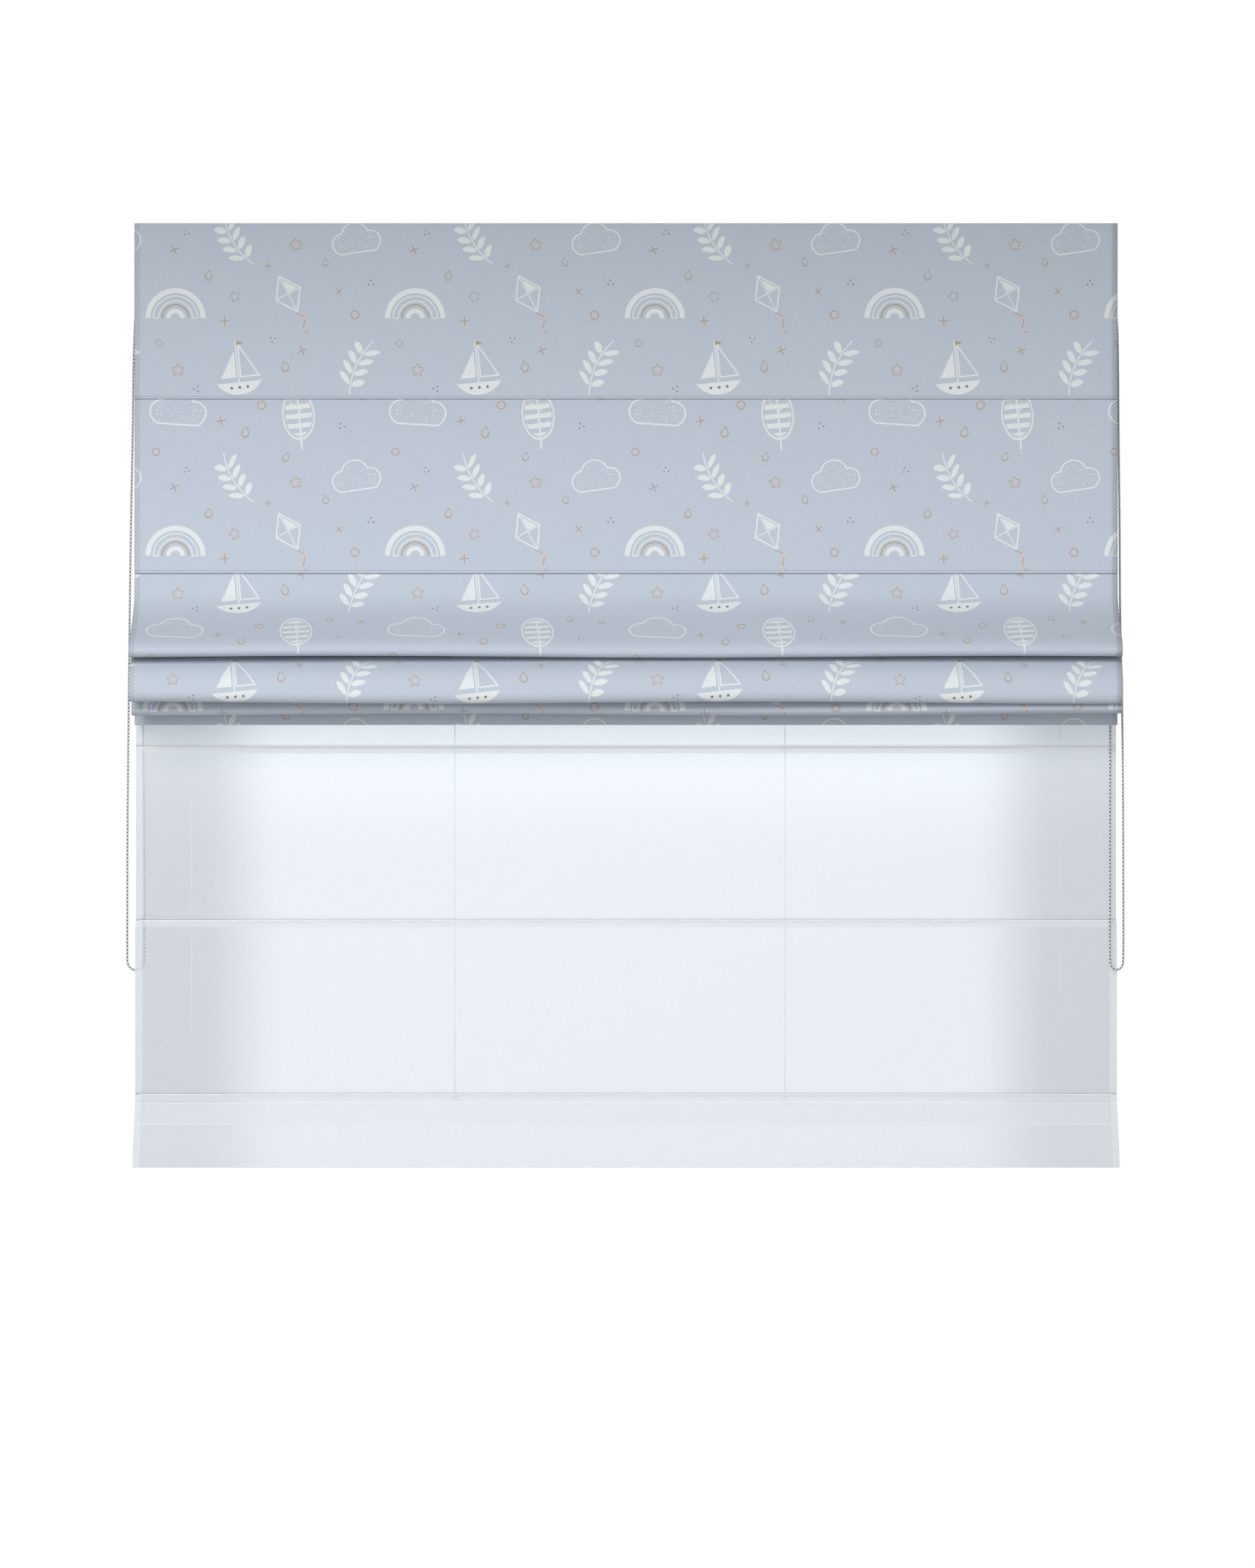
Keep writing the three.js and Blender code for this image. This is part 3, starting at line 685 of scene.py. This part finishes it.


# How far the listed soft folds of a cloth lift it at a place, each fold running at an angle
def foldRelief(folds, x, v):
    lift = 0
    for fx, fv, angle, length, width, height in folds:
        dx, dv = x - fx, v - fv
        if abs(dx) > 3 * length or abs(dv) > 3 * length:
            continue
        a = radians(angle)
        alongFold = dx * cos(a) + dv * sin(a)
        acrossFold = dv * cos(a) - dx * sin(a)
        lift += height * gaussian(alongFold, length) * gaussian(acrossFold, width)
    return lift


# How far a panel swells between two rods, which hold it straight
def panelSwell(x, z, amount):
    drop = (blind["top"] - z) / blind["panelDrop"]
    if not blind["swellFrom"] < drop < blind["seams"]:
        return 0
    between = sin(pi * (drop % 1)) ** 2
    return amount * between * sin(x / blind["swellSpread"] + blind["swellShift"] * floor(drop))


# Front cloth
cotton = {
    "thickness": 1.2, "layer": 1.6, "planeY": -70.3, "top": 20, "sheetThickness": 1.0,
    "rodForward": -3.6, "rodRise": 4.6, "pocketRadius": 2.9, "neckReach": 4, "neckAngles": (-27, -44, -76),
    "lowestRod": -677, "stackPitch": 9, "stations": 121, "longestStep": 13, "swell": 1.5,
    "loops": (
        {"reach": (112, 102), "reachDrop": 697, "bottomDrop": 708, "bottomShare": 0.88, "lift": 20,
         "startRun": 0.03, "startSlope": 14, "endSlope": 0.4, "phase": 20},
        {"reach": (118, 113), "reachDrop": 764, "bottomDrop": 782, "bottomShare": 0.86, "lift": 54,
         "startRun": 0.48, "startSlope": 0.5, "endSlope": 0.78, "phase": 24},
        {"reach": (58, 85), "reachDrop": 791, "bottomDrop": 800.5, "bottomShare": 0.8, "lift": 8,
         "startRun": 0.4, "startSlope": 1.35, "endSlope": 1.7, "phase": 8},
    ),
    "loopEndRun": 0.32, "loopFlat": 0.18, "loopRound": 0.55,
    "reachWave": {"height": 3, "rate": 7},
    "sagWave": {"height": 1.6, "rate": 9.5, "shift": 0.6},
    # Soft folds: across, down the flat cloth, angle, half length, half width, height
    "folds": (
        (-640, 90, 84, 90, 17, 0.9), (-388, 120, 96, 110, 22, -0.8), (-150, 70, 88, 60, 15, 0.7),
        (72, 150, 80, 90, 24, 0.8), (330, 95, 93, 80, 18, -0.9), (585, 140, 99, 100, 20, 0.9),
        (-520, 470, 12, 120, 19, 0.8), (-215, 520, -8, 140, 16, -0.7), (140, 440, 86, 70, 20, 0.8),
        (420, 500, 9, 130, 18, 0.8), (690, 430, 78, 80, 17, -0.8), (-690, 540, 62, 50, 15, 0.9),
        (-700, 735, 58, 46, 13, 1.1), (-430, 760, 80, 42, 14, 0.9), (-120, 720, 97, 50, 16, -0.9),
        (215, 750, 84, 44, 13, 1.0), (505, 725, 101, 48, 15, 0.9), (715, 742, 118, 44, 12, 1.1),
        (-560, 1075, 86, 34, 11, 0.8), (-60, 1080, 93, 34, 12, 0.8), (350, 1070, 82, 36, 12, -0.8),
    ),
}


def panelPoints(start, stop):
    return [(0, start + (stop - start) * i / 4) for i in (1, 2, 3)]


def lipPocketPath(z):
    rod = (cotton["rodForward"], z + cotton["rodRise"])
    return [
        (0, z + 18),
        (0.9, z + 8),
        *arc((0.4, z - 0.6), cotton["layer"] / 2, 0, -180, 8),
        *arc(rod, cotton["pocketRadius"], -20, 235, 12),
        (-3.3, z - 0.6),
        (-2.9, z - 4.2),
        (-1.7, z - 10),
        (-0.7, z - 17),
        (0, z - 28),
    ]


def stackedPocketPath(z, neckAngle):
    rod = (cotton["rodForward"], z)
    pinch = degrees((cotton["layer"] / 2 + 0.1) / cotton["neckReach"])
    into, outOf = (
        arc(rod, cotton["neckReach"], neckAngle + turn, neckAngle + turn, 1)[0] for turn in (pinch, -pinch)
    )
    return [into, *arc(rod, cotton["pocketRadius"], neckAngle + 60, neckAngle + 300, 10), outOf]


def loopPath(loop, share, start, end):
    left, right = loop["reach"]
    wave, sagWave, roundness = cotton["reachWave"], cotton["sagWave"], cotton["loopRound"]
    reach = left + (right - left) * share + wave["height"] * sin(wave["rate"] * share + loop["phase"])
    sag = sagWave["height"] * sin(sagWave["rate"] * share + sagWave["shift"] * loop["phase"])
    belly = (reach, blind["top"] - loop["reachDrop"] + sag)
    bottomHeight = blind["top"] - loop["bottomDrop"] + cotton["thickness"] / 2 + sag
    bottom = (reach * loop["bottomShare"], bottomHeight)
    startRun = reach * loop["startRun"]
    endRun = reach * cotton["loopEndRun"]
    down = bezier(
        start, (start[0] + startRun, start[1] - startRun * loop["startSlope"]),
        (reach, belly[1] + loop["lift"]), belly, 20,
    )
    under = bezier(
        belly, (reach, belly[1] + (bottom[1] - belly[1]) * roundness),
        (bottom[0] + (reach - bottom[0]) * roundness, bottom[1]), bottom, 9,
    )
    back = bezier(
        bottom, (bottom[0] * (1 - cotton["loopFlat"]), bottom[1]),
        (end[0] + endRun, end[1] - endRun * loop["endSlope"]), end, 16,
    )
    return down[1:] + under[1:] + back[1:-1]


def cottonPath(share):
    path = headingPath(cotton)
    for seam in (1, 2):
        z = blind["top"] - seam * blind["panelDrop"]
        path += panelPoints(path[-1][1], z + 18) + lipPocketPath(z)
    for i, loop in enumerate(cotton["loops"]):
        pocket = stackedPocketPath(
            cotton["lowestRod"] + cotton["stackPitch"] * (2 - i), cotton["neckAngles"][i]
        )
        path += loopPath(loop, share, path[-1], pocket[0]) + pocket
    hemForward = path[-1][0] - 0.2
    return path + hemPath(cotton, cotton["lowestRod"] - blind["hemDrop"], hemForward, cotton["lowestRod"] - 9)


def cottonPlace(share, f, z):
    x = (share - 0.5) * blind["width"]
    flat = z > blind["top"] - 2 * blind["panelDrop"]
    swell = panelSwell(x, z, cotton["swell"]) if flat else 0
    return (x, cotton["planeY"] - f - swell, z)


frontCloth = clothSheet("frontCloth", cotton, cottonPath, cottonPlace, cottonMaterial)
solidify = frontCloth.modifiers.new("clothThickness", "SOLIDIFY")
solidify.thickness = cotton["sheetThickness"] * mm
solidify.offset = 0
solidify.material_offset = 1
solidify.material_offset_rim = 0
frontCloth.data.materials.append(cottonReverse)
ridesRoot(frontCloth, "printed_cotton", "front_cloth")
cottonLength = lengthsAlong(cottonPath(0.5))[-1] * mm
print("front cloth built,", len(frontCloth.data.polygons), "faces, cut length", round(cottonLength, 3))

# Sheer cloth
voile = {
    "thickness": 1.0, "layer": 1.4, "planeY": -38.0, "top": 16.9, "rodForward": -3.9,
    "pocketRadius": 2.55, "flap": 11, "stations": 121, "longestStep": 14, "swell": 2.2,
    "flare": {"fromSeam": 4, "blend": 20, "below": 1.5, "inHem": 4.5},
    # Soft folds: across, down the flat cloth, angle, half length, half width, height
    "folds": (
        (-610, 160, 88, 120, 30, 1.1), (-90, 200, 93, 120, 34, -1.0), (480, 150, 86, 120, 28, 1.1),
        (-520, 430, 91, 110, 30, -1.0), (120, 470, 87, 120, 32, 1.1), (600, 440, 94, 110, 28, 1.0),
        (-640, 770, 86, 100, 24, 1.2), (-330, 800, 94, 110, 30, -1.0), (20, 760, 89, 120, 26, 1.1),
        (390, 790, 95, 100, 28, -1.1), (680, 770, 85, 110, 24, 1.2), (-560, 1090, 92, 100, 26, 1.1),
        (-180, 1120, 86, 110, 30, -1.1), (210, 1080, 91, 120, 28, 1.2), (560, 1110, 96, 100, 26, -1.0),
        (-690, 1410, 87, 90, 22, 1.1), (-400, 1430, 95, 110, 30, 1.0), (40, 1400, 90, 110, 26, -1.1),
        (440, 1420, 85, 100, 28, 1.2), (700, 1400, 93, 90, 22, -1.0),
    ),
}


def flapPocketPath(z):
    rod = (voile["rodForward"], z - 1)
    narrow = voile["layer"] / 2
    return [
        (0, z + 12),
        (0, z + 4.5),
        (-1.2, z + 2.4),
        *arc(rod, voile["pocketRadius"], 90, 215, 6),
        *arc((voile["rodForward"], z - voile["flap"] + narrow), narrow, 180, 360, 6),
        *arc(rod, voile["pocketRadius"], -38, 0, 3),
        *arc((-narrow, z - 1), narrow, 150, 0, 5),
        (0, z - 12),
    ]


def voilePath(share):
    path = headingPath(voile)
    for seam in range(1, blind["seams"] + 1):
        z = blind["top"] - seam * blind["panelDrop"]
        path += panelPoints(path[-1][1], z + 12) + flapPocketPath(z)
    lastSeam = blind["top"] - blind["seams"] * blind["panelDrop"]
    return path + hemPath(voile, lastSeam - blind["hemDrop"], 0, lastSeam - 14)


def voileHalfWidth(z):
    drop = blind["top"] - z
    flare = voile["flare"]
    wider = flare["fromSeam"] * blind["panelDrop"]
    lowest = blind["seams"] * blind["panelDrop"]
    below = flare["below"] * smoothStep(wider - flare["blend"], wider + flare["blend"], drop)
    inHem = flare["inHem"] * smoothStep(lowest, lowest + blind["hemDrop"], drop)
    return blind["width"] / 2 + below + inHem


def voilePlace(share, f, z):
    x = (2 * share - 1) * voileHalfWidth(z)
    return (x, voile["planeY"] - f - panelSwell(x, z, voile["swell"]), z)


sheerCloth = clothSheet("sheerCloth", voile, voilePath, voilePlace, voileMaterial)
ridesRoot(sheerCloth, "voile", "sheer_cloth")
voileLength = lengthsAlong(voilePath(0.5))[-1] * mm
print("sheer cloth built,", len(sheerCloth.data.polygons), "faces, cut length", round(voileLength, 3))

# Bead chains, on the route of their CAD solids: down one strand, round the bottom and up the other
voileChainRoute = [
    (-790, -30.1, -22.3), (-792.5, -30, -50), (-798, -28.5, -92), (-802.5, -26, -137), (-805, -24, -200),
    (-806.5, -22.8, -310), (-809, -22.5, -440), (-811.5, -22.5, -610), (-813.5, -22.5, -790),
    (-815, -22.5, -950), (-815.4, -22.5, -1090), (-815.4, -22.5, -1170), (-814.6, -22.5, -1187.5),
    (-809.6, -22.5, -1194.8), (-801.6, -22.5, -1197.5), (-793.6, -22.5, -1194.8), (-788.5, -22.5, -1187.5),
    (-787.7, -22.5, -1170), (-787.7, -22.5, -1070), (-788.8, -22.5, -900), (-790, -22.5, -760),
    (-790.5, -22.5, -600), (-790.5, -22.3, -400), (-790.3, -21, -250), (-790, -18, -140), (-790, -15.5, -70),
    (-790, -14.9, -22.3),
]
frontChainRoute = [
    (790, -62.1, -22.3), (792, -61.9, -50), (796.5, -60, -95), (800.5, -57, -150), (802.2, -53.5, -225),
    (803.1, -51.4, -327), (804.8, -51, -480), (805.6, -51, -610), (808.6, -51, -760), (810.2, -51, -900),
    (810.7, -51, -1060), (810.7, -51, -1170), (809.8, -51, -1187.5), (806.4, -51, -1193.6),
    (799.9, -51, -1196.2), (793.4, -51, -1193.6), (790, -51, -1187.5), (789.1, -51, -1170),
    (789.1, -51, -1060), (789.4, -51, -880), (790, -51, -720), (790.4, -51, -560), (790.5, -51, -390),
    (790.3, -50, -250), (790, -48.4, -140), (790, -47.2, -70), (790, -46.9, -22.3),
]
chain = {
    "beadRadius": 2.25, "pitch": 6.0, "beadRings": 6, "beadSides": 8,
    "coreRadius": 1.3, "coreSides": 6, "curveSteps": 8,
}


# A smooth line through the points of a route, as even steps
def alongRoute(route, step):
    points = [Vector(p) for p in route]
    ends = [2 * points[0] - points[1], *points, 2 * points[-1] - points[-2]]
    fine = []
    for a, b, c, d in zip(ends, ends[1:], ends[2:], ends[3:]):
        knots = [0, 0, 0, 0]
        for i, (p, q) in enumerate(((a, b), (b, c), (c, d))):
            knots[i + 1] = knots[i] + (q - p).length ** 0.5
        for i in range(chain["curveSteps"]):
            t = knots[1] + (knots[2] - knots[1]) * i / chain["curveSteps"]
            level = [a, b, c, d]
            for width in (1, 2, 3):
                span = []
                for j in range(len(level) - 1):
                    low, high = (knots[1], knots[2]) if width == 3 else (knots[j], knots[j + width])
                    share = (t - low) / (high - low)
                    span.append(level[j].lerp(level[j + 1], share))
                level = span
            fine.append(level[0])
    fine.append(points[-1])
    even = [fine[0]]
    left = step
    for p, q in zip(fine, fine[1:]):
        gap = (q - p).length
        done = 0
        while gap - done >= left:
            done += left
            even.append(p.lerp(q, done / gap))
            left = step
        left -= gap - done
    return even


def ballPoints(centre, radius, rings, sides):
    points = [centre + Vector((0, 0, radius))]
    for r in range(1, rings):
        a = pi * r / rings
        for s in range(sides):
            b = 2 * pi * s / sides
            out = Vector((sin(a) * cos(b), sin(a) * sin(b), cos(a)))
            points.append(centre + radius * out)
    points.append(centre - Vector((0, 0, radius)))
    return points


def ballFaces(first, rings, sides):
    last = first + 1 + (rings - 1) * sides
    faces = []
    for s in range(sides):
        t = (s + 1) % sides
        faces.append((first, first + 1 + s, first + 1 + t))
        for r in range(rings - 2):
            a = first + 1 + r * sides
            faces.append((a + s, a + sides + s, a + sides + t, a + t))
        a = first + 1 + (rings - 2) * sides
        faces.append((a + s, last, a + t))
    return faces


def circlePoints(centre, radius, side, up, sides):
    angles = [2 * pi * i / sides for i in range(sides)]
    return [centre + radius * (cos(a) * side + sin(a) * up) for a in angles]


# Quads between one circle and the next, and a face at each end
def tubeFaces(circles, sides):
    faces = []
    for first in range(0, (circles - 1) * sides, sides):
        for s in range(sides):
            a, b = first + s, first + (s + 1) % sides
            faces.append((a, b, b + sides, a + sides))
    faces.append(tuple(range(sides))[::-1])
    faces.append(tuple(range((circles - 1) * sides, circles * sides)))
    return faces


def tubeMesh(line, radius, sides):
    points = []
    side = Vector((1, 0, 0))
    for i, p in enumerate(line):
        along = (line[min(i + 1, len(line) - 1)] - line[max(i - 1, 0)]).normalized()
        side = (side - along * side.dot(along)).normalized()
        points += circlePoints(p, radius, side, along.cross(side), sides)
    return points, tubeFaces(len(line), sides)


def beadChain(name, route, replaced):
    beads = alongRoute(route, chain["pitch"])
    points, faces = tubeMesh(beads, chain["coreRadius"], chain["coreSides"])
    coreFaces = len(faces)
    for bead in beads:
        faces += ballFaces(len(points), chain["beadRings"], chain["beadSides"])
        points += ballPoints(bead, chain["beadRadius"], chain["beadRings"], chain["beadSides"])
    # Beads in grey, painted shade of their rims; the core near black, a painted shadow between the beads
    made = meshObject(name, points, faces, chainBeadsWithPaintedShade)
    made.data.materials.append(chainCorePaintedShadow)
    slots = [1] * coreFaces + [0] * (len(faces) - coreFaces)
    made.data.polygons.foreach_set("material_index", slots)
    ridesRoot(made, "bead_chain", replaced)


beadChain("sheerBeadChain", voileChainRoute, "sheer_chain")
beadChain("frontBeadChain", frontChainRoute, "front_chain")

# Lift cords: straight down from their spools through the rings, tied off under the lowest one
liftCord = {"radius": 0.7, "sides": 10, "top": -14.8, "steps": 12, "stations": (-710, -280, 260, 710)}
knot = {"below": 2.8, "wide": 0.7, "high": 1.75, "turns": 48, "closed": 0.985, "radius": 0.75}
cordTail = {"sway": 0.5, "back": 0.3, "step": 1.2, "points": 6, "radius": 0.6}
ring = {"middle": 3.6, "side": 1.4, "half": 0.9, "around": 24, "section": 10}
tack = {"radius": 0.3, "across": (-1.1, 0, 1.1), "line": ((-5.6, 0.2), (-4.9, 1.2), (-3.2, 1.25), (-2, 0.6))}
liftRows = {
    "front": {"y": -57.9, "rods": (-259.4, -543.4, -659, -668, -677)},
    "sheer": {"y": -25.75, "rods": (-265, -549, -833, -1117, -1401)},
}


def merged(parts):
    points = []
    faces = []
    for partPoints, partFaces in parts:
        faces += [tuple(i + len(points) for i in face) for face in partFaces]
        points += partPoints
    return points, faces


# A trefoil, not quite closed
def knotLine(centre):
    line = []
    for i in range(knot["turns"]):
        t = 2 * pi * i / (knot["turns"] - 1) * knot["closed"]
        x = knot["wide"] * (sin(t) + 2 * sin(2 * t))
        y = knot["wide"] * (cos(t) - 2 * cos(2 * t))
        line.append(centre + Vector((x, y, -knot["high"] * sin(3 * t))))
    return line


def ringMesh(centre):
    points = []
    faces = []
    around, section = ring["around"], ring["section"]
    for i in range(around):
        a = 2 * pi * i / around
        for j in range(section):
            b = 2 * pi * j / section
            r = ring["middle"] + ring["side"] * cos(b)
            points.append(centre + Vector((r * cos(a), r * sin(a), ring["half"] * sin(b))))
            here, there = i * section, (i + 1) % around * section
            k = (j + 1) % section
            faces.append((here + j, there + j, there + k, here + k))
    return points, faces


for row, facts in liftRows.items():
    rings = []
    tacks = []
    for number, x in enumerate(liftCord["stations"], 1):
        y = facts["y"]
        lowest = facts["rods"][-1]
        knotCentre = Vector((x, y, lowest - ring["half"] - knot["below"]))
        top = Vector((x, y, liftCord["top"]))
        straight = [top.lerp(knotCentre, i / liftCord["steps"]) for i in range(liftCord["steps"] + 1)]
        tail = []
        for i in range(cordTail["points"]):
            hang = (cordTail["sway"] * sin(i), cordTail["back"] * i, -cordTail["step"] * i)
            tail.append(knotCentre + Vector(hang))
        cordMesh = merged([
            tubeMesh(straight, liftCord["radius"], liftCord["sides"]),
            tubeMesh(knotLine(knotCentre), knot["radius"], 8),
            tubeMesh(tail, cordTail["radius"], 8),
        ])
        made = meshObject(f"{row}LiftCord{number}", *cordMesh, braidedCord)
        ridesRoot(made, "lift_cord", f"{row}_lift_cord_{number}")
        for z in facts["rods"]:
            rings.append(ringMesh(Vector((x, y, z))))
            for across in tack["across"]:
                sewn = [Vector((x + across, y + back, z + up)) for back, up in tack["line"]]
                tacks.append(tubeMesh(sewn, tack["radius"], 6))
    made = meshObject(f"{row}CordRings", *merged(rings), clearPlastic)
    ridesRoot(made, "clear_plastic", *[f"{row}_cord_ring_{number}" for number in range(1, 5)])
    made = meshObject(f"{row}RingTacks", *merged(tacks), braidedCord)
    ridesRoot(made, "lift_cord")


# A solid turned about an axis: profile of (distance along the axis, radius)
def turnedMesh(origin, axis, profile, sides=24):
    along = Vector(axis).normalized()
    side = along.orthogonal().normalized()
    points = []
    for distance, radius in profile:
        points += circlePoints(Vector(origin) + along * distance, radius, side, along.cross(side), sides)
    return points, tubeFaces(len(profile), sides)


# Bracket screws, and the wheel covers on the outer ends of the chain drives
screw = {
    "head": 4.4, "height": 2.1, "shank": 2.1, "plate": 2.5, "stations": (-600, 0, 600), "heights": (-13, 8),
}
screwProfile = [
    (0.3, screw["shank"]), (screw["plate"], screw["shank"]), (screw["plate"], screw["head"]),
    (screw["plate"] + 0.9, screw["head"] - 0.1), (screw["plate"] + 1.7, screw["head"] - 1.2),
    (screw["plate"] + screw["height"], screw["head"] - 2.6),
]
screwPlaces = [(x, 0, z) for x in screw["stations"] for z in screw["heights"]]
screws = [turnedMesh(place, (0, -1, 0), screwProfile) for place in screwPlaces]
ridesRoot(meshObject("bracketScrews", *merged(screws), screwSteel, smooth=False), "rail_metal")

wheel = {
    "radius": 8.2, "z": -12, "end": 795, "sides": 40,
    "covers": {"frontWheelCover": (1, -54.5), "sheerWheelCover": (-1, -22.5)},
}
wheelProfile = [
    (-0.2, wheel["radius"]), (0.9, wheel["radius"]), (1.5, wheel["radius"] - 0.8), (1.5, 3.4),
    (0.8, 3.0), (0.8, 1.4), (1.2, 0.9),
]
for name, (side, y) in wheel["covers"].items():
    wheelMesh = turnedMesh((side * wheel["end"], y, wheel["z"]), (side, 0, 0), wheelProfile, wheel["sides"])
    ridesRoot(meshObject(name, *wheelMesh, whitePlastic), "white_plastic")
print("cords, rings and fittings built")

# Floor, light and camera
studio = {
    "lens": 141.03,
    "cameraAt": (0.0024, -10.0703, -0.893),
    "floorX": (-6000, 6000),
    "floorY": (-12000, 1400),
    "floorZ": -2380,
    "floorColour": (0.64, 0.64, 0.64),
    "flagX": (-5000, 4000),
    "flagY": -1500,
    "flagZ": (560, 4500),
    "flagColour": (0.02, 0.02, 0.02),
}
lights = {
    "highKey": {"place": (-2.0, -6.0, 2.2), "aim": (0, 0, -0.7), "size": (3.5, 3.0), "power": 344},
    "frontFill": {"place": (0.4, -9.0, -0.9), "aim": (0, 0, -0.7), "size": (3, 3), "power": 168},
    "backGlow": {"place": (0, 1.2, -0.75), "aim": (0, 0, -0.75), "size": (2.4, 1.4), "power": 12},
}


def plainPanel(name, corners, colour, roughness):
    finish, _, shader = newMaterial(name)
    setValues(shader, {"Base Color": (*colour, 1), "Roughness": roughness})
    return meshObject(name, corners, [(0, 1, 2, 3)], finish)


(left, right), (front, back), z = studio["floorX"], studio["floorY"], studio["floorZ"]
floorCorners = [(left, front, z), (right, front, z), (right, back, z), (left, back, z)]
plainPanel("paleFloor", floorCorners, studio["floorColour"], 0.8)

for name, facts in lights.items():
    data = bpy.data.lights.new(name, "AREA")
    data.shape = "RECTANGLE"
    data.size, data.size_y = facts["size"]
    data.energy = facts["power"]
    made = bpy.data.objects.new(name, data)
    made.location = facts["place"]
    towards = Vector(facts["aim"]) - Vector(facts["place"])
    made.rotation_euler = towards.to_track_quat("-Z", "Y").to_euler()
    scene.collection.objects.link(made)
    made.visible_camera = False

# A dark flag in front of the high light, whose soft shadow dims the top of the blind
(left, right), y, (low, high) = studio["flagX"], studio["flagY"], studio["flagZ"]
flagCorners = [(left, y, low), (right, y, low), (right, y, high), (left, y, high)]
flag = plainPanel("lightFlag", flagCorners, studio["flagColour"], 1.0)
flag.visible_camera = False

# The backdrop is white to the camera, greyer where it is seen through the voile, and dim as a light. Seen
# through the voile it is brighter towards the top: painted light, which offsets the shade the loops cast on
# the upper voile
backdrop = {
    "ambient": 0.31, "throughMiddle": (0.765, 0.82, 0.885), "throughSides": (0.445, 0.49, 0.54),
    "sideFrom": 0.055, "sideTo": 0.07, "paintedLightFrom": -0.014, "paintedLightTo": 0.006, "paintedLightTop": 1.14,
}
world = bpy.data.worlds.new("studioWorld")
scene.world = world
world.use_nodes = True
graph = Graph(world.node_tree)
background = world.node_tree.nodes["Background"]
ray = graph.node("LightPath").outputs
towards = graph.split(graph.node("TexCoord").outputs["Generated"])
sideShare = graph.ranged(
    graph.positive(towards["X"]), backdrop["sideFrom"], backdrop["sideTo"], smooth=True
)
through = graph.mixed("RGBA", sideShare, (*backdrop["throughMiddle"], 1), (*backdrop["throughSides"], 1))
# Painted light: what shows through the upper voile is brighter, against the loops' shade on it
paintedTopLight = graph.ranged(
    towards["Z"], backdrop["paintedLightFrom"], backdrop["paintedLightTo"], 1.0, backdrop["paintedLightTop"], smooth=True
)
through = graph.vector("MULTIPLY", through, graph.joined(paintedTopLight, paintedTopLight, paintedTopLight))
seen = graph.math("GREATER_THAN", ray["Transparent Depth"], 0.5)
strength = graph.mixed("FLOAT", ray["Is Camera Ray"], backdrop["ambient"], 1.0)
graph.feed(background.inputs["Color"], graph.mixed("RGBA", seen, (1, 1, 1, 1), through))
graph.feed(background.inputs["Strength"], strength)

cameraData = bpy.data.cameras.new("camera")
cameraData.lens = studio["lens"]
cameraData.clip_end = 60
camera = bpy.data.objects.new("camera", cameraData)
camera.location = studio["cameraAt"]
camera.rotation_euler = (pi / 2, 0, 0)
scene.collection.objects.link(camera)
scene.camera = camera
scene.view_settings.view_transform = "Standard"
print("studio set")
